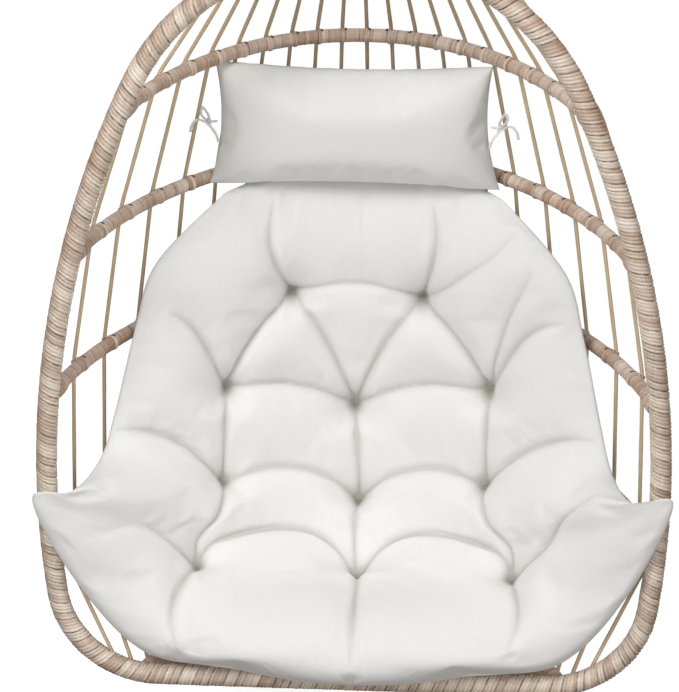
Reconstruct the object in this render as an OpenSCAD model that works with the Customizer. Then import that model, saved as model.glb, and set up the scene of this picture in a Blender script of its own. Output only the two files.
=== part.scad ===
// Hanging egg chair: a wrapped steel basket strung with cords, its tufted seat cushion and head pillow,
// and the sprung swivel hanger that carries it. X is to the right, the open front faces -Y, Z is up.
// The origin is the centre of the hanger's top eye.

/* [Front rim] */
// Half length of the straight bar at the bottom of the rim
bar_half_w = 329; // [300:1:350]
// Radius of the two lower corners
corner_r = 172; // [150:1:190]
// Turn of each lower corner in degrees
corner_sweep = 83; // [80:1:85]
// Radius of the long side curves
side_r = 1650; // [1550:5:1750]
// Turn of each side curve in degrees
side_sweep = 32; // [30:0.5:34]
// Lean of the whole rim, top to the back, in degrees
rim_lean = 7; // [5:0.5:9]
// Angle by which the whole basket tips back, in degrees, until it balances under its ring
hang_tilt = 6.3; // [0:0.1:12]
// Outer diameter of the rim's steel tube
rim_tube_d = 25.4; // [22:0.2:28]
// Diameter of the rim over its rattan wrap
rim_wrap_d = 36; // [32:0.5:40]

/* [Back hoops] */
// Height of the lowest hoop above the bottom bar
low_hoop_h = 263; // [240:1:280]
// Height between one hoop and the next
hoop_pitch = 243; // [220:1:250]
// Height of the top hoop above the fourth
top_hoop_gap = 197; // [180:1:210]
// Depth of a hoop as a part of its half width
hoop_depth_ratio = 0.93; // [0.86:0.01:1]
// Turn of half the tight back curve of a hoop in degrees
hoop_back_sweep = 38; // [34:1:42]
// Angle at which a hoop's ends turn in from straight back, in degrees
hoop_toe = 14; // [8:1:20]
// Outer diameter of the hoops' steel tube
hoop_tube_d = 19; // [16:0.2:21]
// Diameter of a hoop over its rattan wrap
hoop_wrap_d = 24; // [22:0.5:26]
// Wall of every steel tube
tube_wall = 1.5; // [1:0.1:2.5]

/* [Seat base] */
// Half width of the seat ring where it meets the rim
ring_half_w = 360; // [345:1:375]
// Depth of the seat ring as a part of its half width
ring_depth_ratio = 0.8; // [0.72:0.01:0.88]
// Distance between the two tubes under the mat
cross_tube_gap = 230; // [180:1:280]
// Diameter of the tubes under the mat
cross_tube_d = 16; // [12:0.5:18]
// Thickness of the woven seat mat
mat_t = 4; // [3:0.5:6]

/* [Cords] */
// Cords on each side of the middle one
cord_pairs = 10; // [8:1:10]
// Diameter of a cord
cord_d = 6; // [4:0.25:6]
// Half width of the small loop at the top that the cords start from
crown_half_w = 72; // [70:1:80]
// Depth of that loop
crown_depth = 55; // [52:1:60]

/* [Cushion and pillow] */
// Thickness of the seat cushion between its tufts
cushion_t = 104; // [80:1:115]
// Depth of the sewn tufts
tuft_depth = 44; // [20:1:50]
// Length of the head pillow
pillow_w = 484; // [430:1:500]
// Height of the head pillow
pillow_h = 238; // [200:1:250]
// Thickness of the head pillow
pillow_t = 112; // [80:1:120]
// Width of the pillow's tie tapes
tape_w = 5; // [4:0.5:7]

/* [Hanger] */
// Bore of the top eye
eye_bore_d = 24; // [18:0.5:26]
// Outer diameter of the top eye
eye_d = 46; // [42:0.5:50]
// Thickness of the top eye
eye_t = 10; // [8:0.5:12]
// Diameter of the swivel shank
shank_d = 12; // [10:0.5:13]
// Outer diameter of the swivel barrel
barrel_d = 34; // [32:0.5:38]
// Diameter of the clevis pin
pin_d = 8; // [6:0.5:9]
// Wire diameter of the coil spring
coil_wire_d = 6; // [4:0.5:6.5]
// Outer diameter of the coil spring
coil_d = 54; // [52:0.5:60]
// Number of turns of the coil spring
coil_turns = 9; // [6:1:10]
// Length of the coil spring
coil_len = 112; // [100:1:125]
// Diameter of the four draw rods inside the spring
rod_d = 6; // [5:0.5:7]
// Wire diameter of the snap hook
hook_wire_d = 10; // [8:0.5:10.5]
// Half width of the snap hook, to the middle of its wire
hook_half_w = 19; // [18:0.5:22]
// Length of the snap hook's straight legs
hook_leg = 52; // [48:1:60]
// Wire diameter of the hang ring on the basket
ring_wire_d = 10; // [8:0.5:10.5]
// Middle diameter of the hang ring
ring_mid_d = 42; // [40:0.5:46]

/* [Hidden] */
$fn = 48;
wide_bend = 250;       // bends wider than this are drawn finer
e3 = 0.001;
// clearances
wrap_gap = 0.1;        // between a tube and the wrap wound on it
run_gap = 0.05;        // radial, a pin in its bore
loose_gap = 0.3;       // between faces that move past each other
cord_gap = 1.5;        // between a cord and the hoop it bends over
weld_gap = 1;          // how far each length of a bent bar stops short of the next
weld_bulge = 0.8;      // how far the collar over that gap stands out
collar_half = 4;       // half length of that collar
bite = 2;              // how far a tied end is buried in a wrap
mat_bite = 1;          // how far the mat's edge is caught in the wraps

// rim outline in its own leaning plane: bar, corner, side curve, top curve
corner_x = bar_half_w + corner_r * sin(corner_sweep);
corner_z = corner_r * (1 - cos(corner_sweep));
side_end = corner_sweep + side_sweep;
side_x = corner_x + side_r * (sin(side_end) - sin(corner_sweep));
side_z = corner_z + side_r * (cos(corner_sweep) - cos(side_end));
top_r = side_x / sin(side_end);
rim_h = side_z + top_r * (1 + cos(side_end));

rim_tube_r = rim_tube_d / 2;
rim_wrap_r = rim_wrap_d / 2;
hoop_tube_r = hoop_tube_d / 2;
hoop_wrap_r = hoop_wrap_d / 2;
cord_r = cord_d / 2;

// hanger levels, downwards from the top eye
shank_head_h = 6;
shank_head_d = shank_d + 9;
race_t = 2.4;
race_d = shank_head_d - 0.6;
ball_d = 4;
ball_count = 10;
cap_t = 8;
barrel_wall = 4;
barrel_bore_d = barrel_d - 2 * barrel_wall;
barrel_top = -eye_d / 2 - 4;
race_top = barrel_top - cap_t - loose_gap;
ball_z = race_top - race_t - ball_d / 2 - run_gap;
race_low = ball_z - ball_d / 2 - run_gap - race_t;
head_top = race_low - run_gap;
head_low = head_top - shank_head_h;
barrel_low = head_low - loose_gap;
plug_t = 6;
pin_drop = 22;
pin_z = barrel_low - plug_t - pin_drop;
ear_t = 6;
tongue_t = 12;
ear_gap = tongue_t + 2 * loose_gap;
eyelet_r = pin_d / 2 + 6;
plate_t = 5;
plate_d = coil_d + 4;
yoke_drop = 28;
upper_plate_z = pin_z - yoke_drop - 12;
coil_top = upper_plate_z - plate_t;
coil_low = coil_top - coil_len;
rod_reach = coil_d / 2 - coil_wire_d - rod_d / 2 - 4;
spring_travel = 28;
spring_rise = 4;
lower_yoke_z = coil_low - plate_t - 22;
low_eye_r = hook_wire_d / 2 + 5;
low_eye_t = 12;
low_eye_z = lower_yoke_z - 8 - low_eye_r - 4;
hook_in_r = hook_half_w - hook_wire_d / 2;
hook_seat = hook_in_r - sqrt(hook_in_r * hook_in_r - low_eye_t * low_eye_t / 4);
hook_top_z = low_eye_z - low_eye_r + hook_wire_d / 2 + loose_gap + hook_seat;
hook_arc_top_z = hook_top_z - hook_half_w;
hook_arc_low_z = hook_arc_top_z - hook_leg;
hook_low_z = hook_arc_low_z - hook_half_w;
ring_r = ring_mid_d / 2;
ring_wire_r = ring_wire_d / 2;
ring_z = hook_low_z + hook_wire_d / 2 + loose_gap + ring_wire_r - ring_r;
neck_d = 16;
neck_h = 10;
apex_z = ring_z - ring_r - neck_h - rim_tube_r;

// the bar's place: the rim leans back to its top, which hangs on the Z axis
bar_y = -rim_h * sin(rim_lean);
bar_z = apex_z - rim_h * cos(rim_lean);

hoop_hs = [
    for (i = [0:4]) i < 4 ? low_hoop_h + i * hoop_pitch : low_hoop_h + 3 * hoop_pitch + top_hoop_gap
];

// ---- small helpers ----

function unit(v) = v / norm(v);
function mix(a, b, t) = a + (b - a) * t;

// a rod from one point to another
module rod(a, b, r) {
    d = b - a;
    translate(a)
        rotate([0, acos(d[2] / norm(d)), atan2(d[1], d[0])])
            cylinder(h = norm(d), r = r);
}

// round section of a solid bar, or of a sleeve when r_in is above 0
module section(r_out, r_in) {
    difference() {
        circle(r = r_out, $fn = 48);
        if (r_in > 0)
            circle(r = r_in);
    }
}

// part of a ring about Z, from angle a0 through the given turn
module arc(radius, a0, turn, r_out, r_in = 0) {
    rotate([0, 0, a0])
        rotate_extrude(angle = turn, $fn = radius > wide_bend ? 360 : 96)
            translate([radius, 0])
                section(r_out, r_in);
}

// Bent bars are welded up from lengths that stop just short of each other inside a straight collar.
module bent_length(radius, a0, turn, r) {
    short = weld_gap / radius * 180 / PI;
    arc(radius, a0 + short, turn - 2 * short, r);
}
module collar(p, heading, r, half) {
    translate(p)
        rotate([0, 0, heading])
            rotate([0, 90, 0])
                cylinder(h = 2 * half, r = r + weld_bulge, center = true);
}

// A cord's lengths stop short inside a ball.
module weld(p, r) {
    translate(p)
        sphere(r = r + weld_bulge);
}

// The basket tips about the ring's wire, where that rests in the hook.
module hung() {
    translate([0, 0, ring_z + ring_r])
        rotate([-hang_tilt, 0, 0])
            translate([0, 0, -ring_z - ring_r])
                children();
}

// ---- the front rim ----

// height in the leaning plane to half width of the rim
function corner_half(s) = bar_half_w + corner_r * sin(acos(1 - s / corner_r));
function side_half(s) = corner_x + side_r * (sin(acos(cos(corner_sweep) - (s - corner_z) / side_r))
    - sin(corner_sweep));
function top_half(s) = top_r * sin(acos(cos(side_end) - (s - side_z) / top_r));
function rim_half_w(h) = let (s = h / cos(rim_lean))
    s < corner_z ? corner_half(s) : s < side_z ? side_half(s) : top_half(s);
// how far behind the bar the rim is at a height
function rim_y(h) = h * tan(rim_lean);

module rim_plane() {
    translate([0, bar_y, bar_z])
        rotate([90 - rim_lean, 0, 0])
            children();
}

module rim_bar(r, half) {
    translate([weld_gap - bar_half_w, 0, 0])
        rotate([0, 90, 0])
            cylinder(h = 2 * (bar_half_w - weld_gap), r = r);
    translate([0, rim_h - top_r])
        bent_length(top_r, side_end - 90, 360 - 2 * side_end, r);
    for (m = [0, 1])
        mirror([m, 0, 0]) {
            translate([bar_half_w, corner_r])
                bent_length(corner_r, -90, corner_sweep, r);
            translate([corner_x - side_r * sin(corner_sweep), corner_z + side_r * cos(corner_sweep)])
                bent_length(side_r, corner_sweep - 90, side_sweep, r);
            collar([bar_half_w, 0], 0, r, half);
            collar([corner_x, corner_z], corner_sweep, r, half);
            collar([side_x, side_z], side_end, r, half);
        }
}

// the rim as a tube or as a sleeve on it
module rim(r_out, r_in) {
    rim_plane()
        difference() {
            rim_bar(r_out, collar_half);
            rim_bar(r_in, collar_half + wrap_gap);
        }
}

module front_rim_tube() {
    color("dimgray")
        rim(rim_tube_r, rim_tube_r - tube_wall);
}

module front_rim_wrap() {
    color("tan")
        rim(rim_wrap_r, rim_tube_r + wrap_gap);
}

// ---- hoops: a tight curve at the back and a wide one to each end ----

// [half width, depth, toe angle] to the two radii of a hoop
function back_r(g) = let (s = sin(hoop_back_sweep), c = cos(hoop_back_sweep))
    (g[1] * (cos(g[2]) - s) - g[0] * (c - sin(g[2]))) / ((1 - c) * (cos(g[2]) - s) - s * (c - sin(g[2])));
function wide_r(g) = (g[0] - back_r(g) * sin(hoop_back_sweep)) / (cos(g[2]) - sin(hoop_back_sweep));

// heading of the hoop where its half width is x, from 0 at the back
function hoop_angle(g, x) = let (x1 = back_r(g) * sin(hoop_back_sweep))
    x <= x1 ? asin(x / back_r(g)) : asin((x - x1) / wide_r(g) + sin(hoop_back_sweep));
function hoop_xy(g, x) = let (a = hoop_angle(g, abs(x)))
    a <= hoop_back_sweep
        ? [x, g[1] - back_r(g) * (1 - cos(a))]
        : [x, g[1] - back_r(g) * (1 - cos(hoop_back_sweep)) - wide_r(g) * (cos(hoop_back_sweep) - cos(a))];

hoop_shapes = [
    for (h = hoop_hs) [rim_half_w(h), rim_half_w(h) * hoop_depth_ratio, hoop_toe]
];
ring_toe = 27;
ring_shape = [ring_half_w, ring_half_w * ring_depth_ratio, ring_toe];

// one hoop in its own plane, its ends cut back by a length
module hoop_bar(g, trim, r, half) {
    rb = back_r(g);
    rw = wide_r(g);
    cut = trim / rw * 180 / PI;
    translate([0, g[1] - rb])
        bent_length(rb, 90 - hoop_back_sweep, 2 * hoop_back_sweep, r);
    for (m = [0, 1])
        mirror([m, 0, 0]) {
            translate([(rb - rw) * sin(hoop_back_sweep), g[1] - rb + (rb - rw) * cos(hoop_back_sweep)])
                bent_length(rw, g[2] + cut, 90 - hoop_back_sweep - g[2] - cut, r);
            collar([rb * sin(hoop_back_sweep), g[1] - rb * (1 - cos(hoop_back_sweep))], -hoop_back_sweep, r, half);
        }
}

// The bore runs past both ends.
module hoop(g, trim, r_out, r_in) {
    difference() {
        hoop_bar(g, trim, r_out, collar_half);
        hoop_bar(g, trim - 2 * weld_gap, r_in, collar_half + wrap_gap);
    }
}

module at_height(h) {
    translate([0, bar_y + rim_y(h), bar_z + h])
        children();
}

module hoop_tube(i) {
    color("dimgray")
        at_height(hoop_hs[i])
            hoop(hoop_shapes[i], rim_tube_r + wrap_gap, hoop_tube_r, hoop_tube_r - tube_wall);
}

module hoop_wrap(i) {
    color("tan")
        at_height(hoop_hs[i])
            hoop(hoop_shapes[i], joint_start(hoop_shapes[i]), hoop_wrap_r, hoop_tube_r + wrap_gap);
}

// thick winding over each welded hoop end
joint_len = 34;
joint_grow = 4;
joint_gap = 0.5;

// length along a hoop from the rim's middle to where its wrap begins, clear of the rim's wrap
function joint_start(g) = (rim_wrap_r + (hoop_wrap_r + joint_grow) * sin(g[2])) / cos(g[2]) + joint_gap;

module joint_wrap(g) {
    rb = back_r(g);
    rw = wide_r(g);
    cut = joint_start(g) / rw * 180 / PI;
    turn = joint_len / rw * 180 / PI;
    for (m = [0, 1])
        mirror([m, 0, 0])
            translate([(rb - rw) * sin(hoop_back_sweep), g[1] - rb + (rb - rw) * cos(hoop_back_sweep)])
                arc(rw, g[2] + cut, turn, hoop_wrap_r + joint_grow, hoop_wrap_r + wrap_gap);
}

module joint_wraps() {
    color("burlywood") {
        for (i = [0:4])
            at_height(hoop_hs[i])
                joint_wrap(hoop_shapes[i]);
        at_height(0)
            joint_wrap(ring_shape);
    }
}

// ---- crown: the small loop behind the apex that every cord is tied to ----

crown_r = (crown_half_w * crown_half_w + crown_depth * crown_depth) / (2 * crown_depth);
crown_bar_r = 5;
crown_wrap_r = 9;
crown_turn = asin(crown_half_w / crown_r);
crown_drop = top_r - sqrt(top_r * top_r - crown_half_w * crown_half_w);
crown_h = (rim_h - crown_drop) * cos(rim_lean);
crown_share = 0.85;

module crown_arc(trim, r_out, r_in) {
    cut = trim / crown_r * 180 / PI;
    at_height(crown_h)
        translate([0, crown_depth - crown_r])
            arc(crown_r, 90 - crown_turn + cut, 2 * (crown_turn - cut), r_out, r_in);
}

module crown_loop() {
    color("dimgray")
        crown_arc(rim_tube_r + wrap_gap, crown_bar_r, 0);
}

module crown_wrap() {
    color("tan")
        crown_arc(rim_wrap_r + 9, crown_wrap_r, crown_bar_r + wrap_gap);
}

// ---- seat base ----

module seat_ring_tube() {
    color("dimgray")
        at_height(0)
            hoop(ring_shape, rim_tube_r + wrap_gap, hoop_tube_r, hoop_tube_r - tube_wall);
}

module seat_ring_wrap() {
    color("tan")
        at_height(0)
            hoop(ring_shape, joint_start(ring_shape), hoop_wrap_r, hoop_tube_r + wrap_gap);
}

cross_tube_r = cross_tube_d / 2;
cross_x = cross_tube_gap / 2;
cross_end_y = hoop_xy(ring_shape, cross_x)[1] - hoop_tube_r - 1;

module cross_tubes() {
    color("dimgray")
        for (m = [-1, 1])
            translate([m * cross_x, bar_y + rim_tube_r + wrap_gap, bar_z])
                rotate([-90, 0, 0])
                    difference() {
                        cylinder(h = cross_end_y - rim_tube_r - wrap_gap, r = cross_tube_r);
                        translate([0, 0, -e3])
                            cylinder(h = cross_end_y, r = cross_tube_r - tube_wall);
                    }
}

// the mat lies on the two tubes and is laced into the wraps around it
mat_z = cross_tube_r + wrap_gap;
mat_inset = sqrt(hoop_wrap_r * hoop_wrap_r - mat_z * mat_z) - mat_bite;
mat_front = sqrt(rim_wrap_r * rim_wrap_r - mat_z * mat_z) - mat_bite;
mat_shape = [ring_half_w - mat_inset, ring_shape[1] - mat_inset, ring_toe];
mat_steps = 14;
mat_side_x = hoop_side_x(mat_shape, mat_front + 12, mat_shape[0]);

// half width of a hoop at the depth y, found by halving the span
function hoop_side_x(g, y, hi, lo = 0, n = 20) = n == 0 ? lo : let (m = (hi + lo) / 2)
    hoop_xy(g, m)[1] > y ? hoop_side_x(g, y, hi, m, n - 1) : hoop_side_x(g, y, m, lo, n - 1);

module seat_mat() {
    edge = [for (i = [-mat_steps:mat_steps]) hoop_xy(mat_shape, mat_side_x * sin(90 * i / mat_steps))];
    front = [
        [mat_side_x, mat_front],
        [-mat_side_x, mat_front]
    ];
    color("wheat")
        at_height(0)
            translate([0, 0, mat_z])
                linear_extrude(mat_t)
                    polygon(concat(edge, front));
}

// ---- cords ----

// The cords fan out from the crown. The spread of cord k is the sine of an angle that opens a little
// faster towards the rim.
last_cord = 11;
fan_linear = 66;
fan_cubic = 24;
function spread(k, last) = let (t = k / last)
    sin(fan_linear * t + fan_cubic * t * t * t);

// middle of hoop i at a spread, and the way straight out from it
function on_hoop(g, h, s) = let (p = hoop_xy(g, s * g[0]))
    [p[0], p[1] + bar_y + rim_y(h), bar_z + h];
function out_of(g, s) = let (a = hoop_angle(g, abs(s * g[0])))
    [sin(a) * (s < 0 ? -1 : 1), cos(a), 0];

function crown_point(s) = let (x = s * crown_share * crown_half_w)
    [x, bar_y + rim_y(crown_h) + crown_depth - crown_r + sqrt(crown_r * crown_r - x * x),
        bar_z + crown_h];

// the two cords next to the rim end on its lower corners, the others on the seat ring
corner_cords = 2;
corner_ends = [14, 24];
function corner_point(a) = let (s = corner_r * (1 - cos(a)))
    [bar_half_w + corner_r * sin(a), bar_y + s * sin(rim_lean), bar_z + s * cos(rim_lean)];
function end_point(k) = k > last_cord - 1 - corner_cords
    ? corner_point(corner_ends[k - (last_cord - corner_cords)])
    : on_hoop(ring_shape, 0, spread(k, last_cord - corner_cords));
function end_r(k) = k > last_cord - 1 - corner_cords ? rim_wrap_r : hoop_wrap_r;

// the way that the bar runs where cord k is tied to it
function end_along(k) = k > last_cord - 1 - corner_cords
    ? let (a = corner_ends[k - (last_cord - corner_cords)])
        [cos(a), sin(a) * sin(rim_lean), sin(a) * cos(rim_lean)]
    : let (o = out_of(ring_shape, spread(k, last_cord - corner_cords))) [o[1], -o[0], 0];
// length from the bar's middle to the end of a cord that comes in along d
function end_stop(k, d) = let (t = end_along(k))
    (end_r(k) - bite + cord_r * abs(d * t)) / norm(cross(d, t));

// hoop middles from the top down, with the crown before and the tied end after
function cord_stations(k) = let (s = spread(k, last_cord)) concat(
    [crown_point(s)],
    [for (i = [4:-1:0]) on_hoop(hoop_shapes[i], hoop_hs[i], s)],
    [end_point(k)]
);

// a cord near a hoop's end goes over the thick winding there
function over_joint(g, s) = hoop_xy(g, abs(s * g[0]))[1] < joint_start(g) + joint_len + cord_r
    ? joint_grow + cord_gap
    : 0;

// where the cord bends over a hoop: straight out from it, square to the cord
function bend_point(p, i, o, extra) = let (
        d_in = unit(p[i] - p[i - 1]),
        d_out = unit(p[i + 1] - p[i]),
        along = unit(d_in + d_out),
        out = unit(o - (o * along) * along),
        lift = (hoop_wrap_r + extra + cord_r + cord_gap) / sqrt((1 + d_in * d_out) / 2)
    )
    p[i] + out * lift;

function cord_path(k) = let (
        p = cord_stations(k),
        s = spread(k, last_cord),
        bends = [for (i = [1:5]) let (g = hoop_shapes[5 - i])
            bend_point(p, i, out_of(g, s), over_joint(g, s))],
        first = p[0] + unit(bends[0] - p[0]) * (crown_wrap_r - bite),
        way_in = unit(bends[4] - p[6]),
        last = p[6] + way_in * end_stop(k, way_in)
    )
    concat([first], bends, [last]);

module cord(k) {
    p = cord_path(k);
    for (i = [0:len(p) - 2]) {
        along = unit(p[i + 1] - p[i]);
        rod(p[i] + along * weld_gap, p[i + 1] - along * weld_gap, cord_r);
    }
    for (i = [1:len(p) - 2])
        weld(p[i], cord_r);
}

module cord_middle() {
    color("peru")
        cord(0);
}

module cord_pair(k) {
    color("peru") {
        cord(k);
        mirror([1, 0, 0])
            cord(k);
    }
}

// ---- soft forms: closed skins over a grid of points ----

// faces of a closed skin from a front grid and a back grid of the same n by m points that share no point
function cell(a, b, c, d) = [[a, b, c], [a, c, d]];
function grid_faces(n, m, base, flip) = [
    for (i = [0:n - 2], j = [0:m - 2]) let (
            a = base + i * m + j,
            q = flip ? cell(a, a + 1, a + m + 1, a + m) : cell(a, a + m, a + m + 1, a + 1)
        )
        each q
];
function edge_loop(n, m) = concat(
    [for (i = [0:n - 1]) i * m],
    [for (j = [1:m - 1]) (n - 1) * m + j],
    [for (i = [n - 2:-1:0]) i * m + m - 1],
    [for (j = [m - 2:-1:1]) j]
);
function wall_faces(n, m) = let (loop = edge_loop(n, m), count = len(loop), second = n * m) [
    for (i = [0:count - 1]) let (a = loop[i], b = loop[(i + 1) % count])
        each cell(a, a + second, b + second, b)
];

module skin(front, back, n, m) {
    polyhedron(
        points = concat(front, back),
        faces = concat(grid_faces(n, m, 0, false), grid_faces(n, m, n * m, true), wall_faces(n, m)),
        convexity = 6
    );
}

// smooth curve through a list of values, t from 0 to 1
function smooth(v, t) = let (
        n = len(v) - 1,
        x = min(max(t, 0), 1) * n,
        i = min(floor(x), n - 1),
        f = x - i,
        a = v[max(i - 1, 0)],
        b = v[i],
        c = v[i + 1],
        d = v[min(i + 2, n)]
    )
    b + 0.5 * f * (c - a + f * (2 * a - 5 * b + 4 * c - d + f * (3 * (b - c) + d - a)));

// ---- seat cushion ----

// Middle line of the cushion's under side and of its face, from the front edge up to the top:
// [y, z] from the bar
under_spine = [
    [-42, 24], [70, 26], [180, 27], [262, 44], [330, 100], [384, 186], [452, 330], [486, 500], [487, 640],
    [474, 752]
];
face_spine = [
    [-50, 50], [52, 104], [146, 106], [214, 122], [262, 162], [308, 232], [358, 352], [384, 510], [396, 640],
    [444, 748]
];
// Its side edges at the same places: [x, y, z] from the bar. The fourth is the tip of a wing, which
// lies in front of the rim, and the fifth the fold where the edge goes back behind it.
under_edge = [
    [205, -42, 24], [352, -22, 48], [462, -20, 176], [528, -20, 330], [470, 6, 350], [438, 132, 350],
    [418, 188, 410], [386, 246, 540], [350, 288, 645], [238, 390, 732]
];
face_edge = [
    [196, -52, 60], [336, -44, 88], [434, -40, 206], [500, -40, 350], [440, -6, 372], [404, 116, 376],
    [382, 166, 424], [350, 222, 550], [318, 260, 652], [222, 362, 744]
];
cushion_cols = 26;
cushion_rows = 24;
under_curl = [2.6, 2.2];   // how the cross curves bend from the middle to the edge, in y and in z
face_curl = [1.8, 2.1];
face_rest = 104;           // thickness that the face line above stands for

function cross_curve(spine, edge, curl, u, v) = let (
        c = smooth(spine, v),
        e = smooth(edge, v),
        a = abs(u)
    )
    [u * e[0], bar_y + mix(c[0], e[1], pow(a, curl[0])), bar_z + mix(c[1], e[2], pow(a, curl[1]))];
function under(u, v) = cross_curve(under_spine, under_edge, under_curl, u, v);
function face(u, v) = cross_curve(face_spine, face_edge, face_curl, u, v);

// tuft places: across from -1 to 1, and along
tufts = [
    [0.31, 0.785], [-0.31, 0.785],
    [0, 0.67], [0.56, 0.69], [-0.56, 0.69],
    [0, 0.52], [0.52, 0.53], [-0.52, 0.53],
    [0, 0.27], [0.60, 0.25], [-0.60, 0.25]
];
tuft_size = [0.11, 0.07];
function dip(u, v) = max([for (t = tufts) exp(-pow((u - t[0]) / tuft_size[0], 2)
    - pow((v - t[1]) / tuft_size[1], 2))]);

// fullness falls to nothing at the sewn edge
side_roll = 8;
end_roll = 12;
thin_edge = 3;
function full(u, v) = sqrt(max(0, 1 - pow(abs(u), side_roll)))
    * sqrt(max(0, 1 - pow(abs(2 * v - 1), end_roll)));
function cushion_front(u, v) = let (
        a = under(u, v),
        d = face(u, v) - a,
        depth = norm(d) * cushion_t / face_rest * full(u, v) - tuft_depth * dip(u, v)
    )
    a + unit(d) * max(thin_edge, depth);

module seat_cushion() {
    back = [for (j = [0:cushion_rows - 1], i = [0:cushion_cols - 1])
        under(2 * i / (cushion_cols - 1) - 1, j / (cushion_rows - 1))];
    front = [for (j = [0:cushion_rows - 1], i = [0:cushion_cols - 1])
        cushion_front(2 * i / (cushion_cols - 1) - 1, j / (cushion_rows - 1))];
    color("whitesmoke")
        skin(front, back, cushion_rows, cushion_cols);
}

// ---- head pillow ----

pillow_x = -8;         // a little left of the middle
pillow_y = 392;        // from the bar to the middle of the pillow
pillow_z = 858;
pillow_lean = 4;
pillow_cols = 25;
pillow_rows = 15;
pillow_waist = 0.055;  // how far its sides draw in between the corners
pillow_side = 0.075;

function pillow_point(u, v, side) = let (
        w = pillow_w / 2 * (1 - pillow_waist * (1 - v * v)),
        h = pillow_h / 2 * (1 - pillow_side * (1 - u * u)),
        puff = pow(max(0, 1 - pow(abs(u), 4)), 0.5) * pow(max(0, 1 - pow(abs(v), 3)), 0.55)
    )
    [u * w, side * max(1.5, pillow_t / 2 * puff), v * h];

module head_pillow() {
    back = [for (j = [0:pillow_rows - 1], i = [0:pillow_cols - 1])
        pillow_point(2 * i / (pillow_cols - 1) - 1, 2 * j / (pillow_rows - 1) - 1, 1)];
    front = [for (j = [0:pillow_rows - 1], i = [0:pillow_cols - 1])
        pillow_point(2 * i / (pillow_cols - 1) - 1, 2 * j / (pillow_rows - 1) - 1, -1)];
    color("whitesmoke")
        at_pillow()
            skin(front, back, pillow_rows, pillow_cols);
}

// The tie tapes are sewn into the pillow's side seams and tied in a bow beside the nearest cord.
// A tie is four runs of tape from its knot: to the seam, up into the loop and down into two tails.
tie_runs = [
    [[-15, -2, 0], [-11, -4, 1], [-5, -5, 1]],
    [[3, -8, 5], [9, -10, 13], [12, -10, 21], [9, -9, 30], [3, -8, 22], [-1, -7, 13], [-1, -6, 6]],
    [[6, -6, 0], [13, -8, 5], [21, -8, 4], [28, -8, -6], [31, -7, -19]],
    [[-2, -7, -6], [-6, -9, -10], [-12, -15, -16], [-15, -17, -25]]
];
tape_t = 1.2;
tie_knot_r = 4;
tie_gap = 18;

// a flat tape along a route: four corners at each point, its broad side to the front
function tape_way(p, i) = unit(p[min(i + 1, len(p) - 1)] - p[max(i - 1, 0)]);
function tape_ring(p, i) = let (
        d = tape_way(p, i),
        across = unit(cross(d, [0, 1, 0])) * tape_w / 2,
        thick = unit(cross(d, across)) * tape_t / 2
    )
    [p[i] + across + thick, p[i] - across + thick, p[i] - across - thick, p[i] + across - thick];

module tape(p) {
    n = len(p);
    rings = [for (i = [0:n - 1]) each tape_ring(p, i)];
    sides = [for (i = [0:n - 2], j = [0:3]) let (a = 4 * i + j, b = 4 * i + (j + 1) % 4)
        each cell(a, a + 4, b + 4, b)];
    ends = concat(cell(0, 1, 2, 3), cell(4 * n - 1, 4 * n - 2, 4 * n - 3, 4 * n - 4));
    polyhedron(points = rings, faces = concat(sides, ends), convexity = 4);
}

module tie() {
    color("white")
        translate([pillow_w / 2 * (1 - pillow_waist) + tie_gap, 0, 4]) {
            for (p = tie_runs)
                tape(p);
            translate([0, -5, 0])
                sphere(r = tie_knot_r);
        }
}

module at_pillow() {
    translate([pillow_x, bar_y + pillow_y, bar_z + pillow_z])
        rotate([pillow_lean, 0, 0])
            children();
}

module pillow_tie_left() {
    at_pillow()
        mirror([1, 0, 0])
            tie();
}

module pillow_tie_right() {
    at_pillow()
        tie();
}

// ---- hanger ----

// a flat round eye with its bore along Y
module flat_eye(d, bore_d, t) {
    rotate([90, 0, 0])
        translate([0, 0, -t / 2])
            difference() {
                cylinder(h = t, d = d);
                translate([0, 0, -1])
                    cylinder(h = t + 2, d = bore_d);
            }
}

module top_eye() {
    color("silver") {
        flat_eye(eye_d, eye_bore_d, eye_t);
        translate([0, 0, head_low])
            cylinder(h = -head_low - eye_bore_d / 2 - 2, d = shank_d);
        translate([0, 0, head_low])
            cylinder(h = shank_head_h, d = shank_head_d);
    }
}

module race(z) {
    color("gray")
        translate([0, 0, z])
            difference() {
                cylinder(h = race_t, d = race_d);
                translate([0, 0, -1])
                    cylinder(h = race_t + 2, d = shank_d + 2 * run_gap);
            }
}

module lower_race() {
    race(race_low);
}

module upper_race() {
    race(race_top - race_t);
}

module bearing_balls() {
    ball_ring_r = (shank_d / 2 + run_gap + race_d / 2) / 2 + 0.2;
    color("lightgray")
        for (i = [0:ball_count - 1])
            rotate([0, 0, 360 * i / ball_count])
                translate([ball_ring_r, 0, ball_z])
                    sphere(d = ball_d);
}

module swivel_barrel() {
    color("silver")
        difference() {
            translate([0, 0, barrel_low])
                cylinder(h = barrel_top - barrel_low, d = barrel_d);
            translate([0, 0, barrel_low - 1])
                cylinder(h = barrel_top - cap_t - barrel_low + 1, d = barrel_bore_d);
            translate([0, 0, barrel_top - cap_t - 1])
                cylinder(h = cap_t + 2, d = shank_d + 2 * loose_gap);
        }
}

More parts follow.
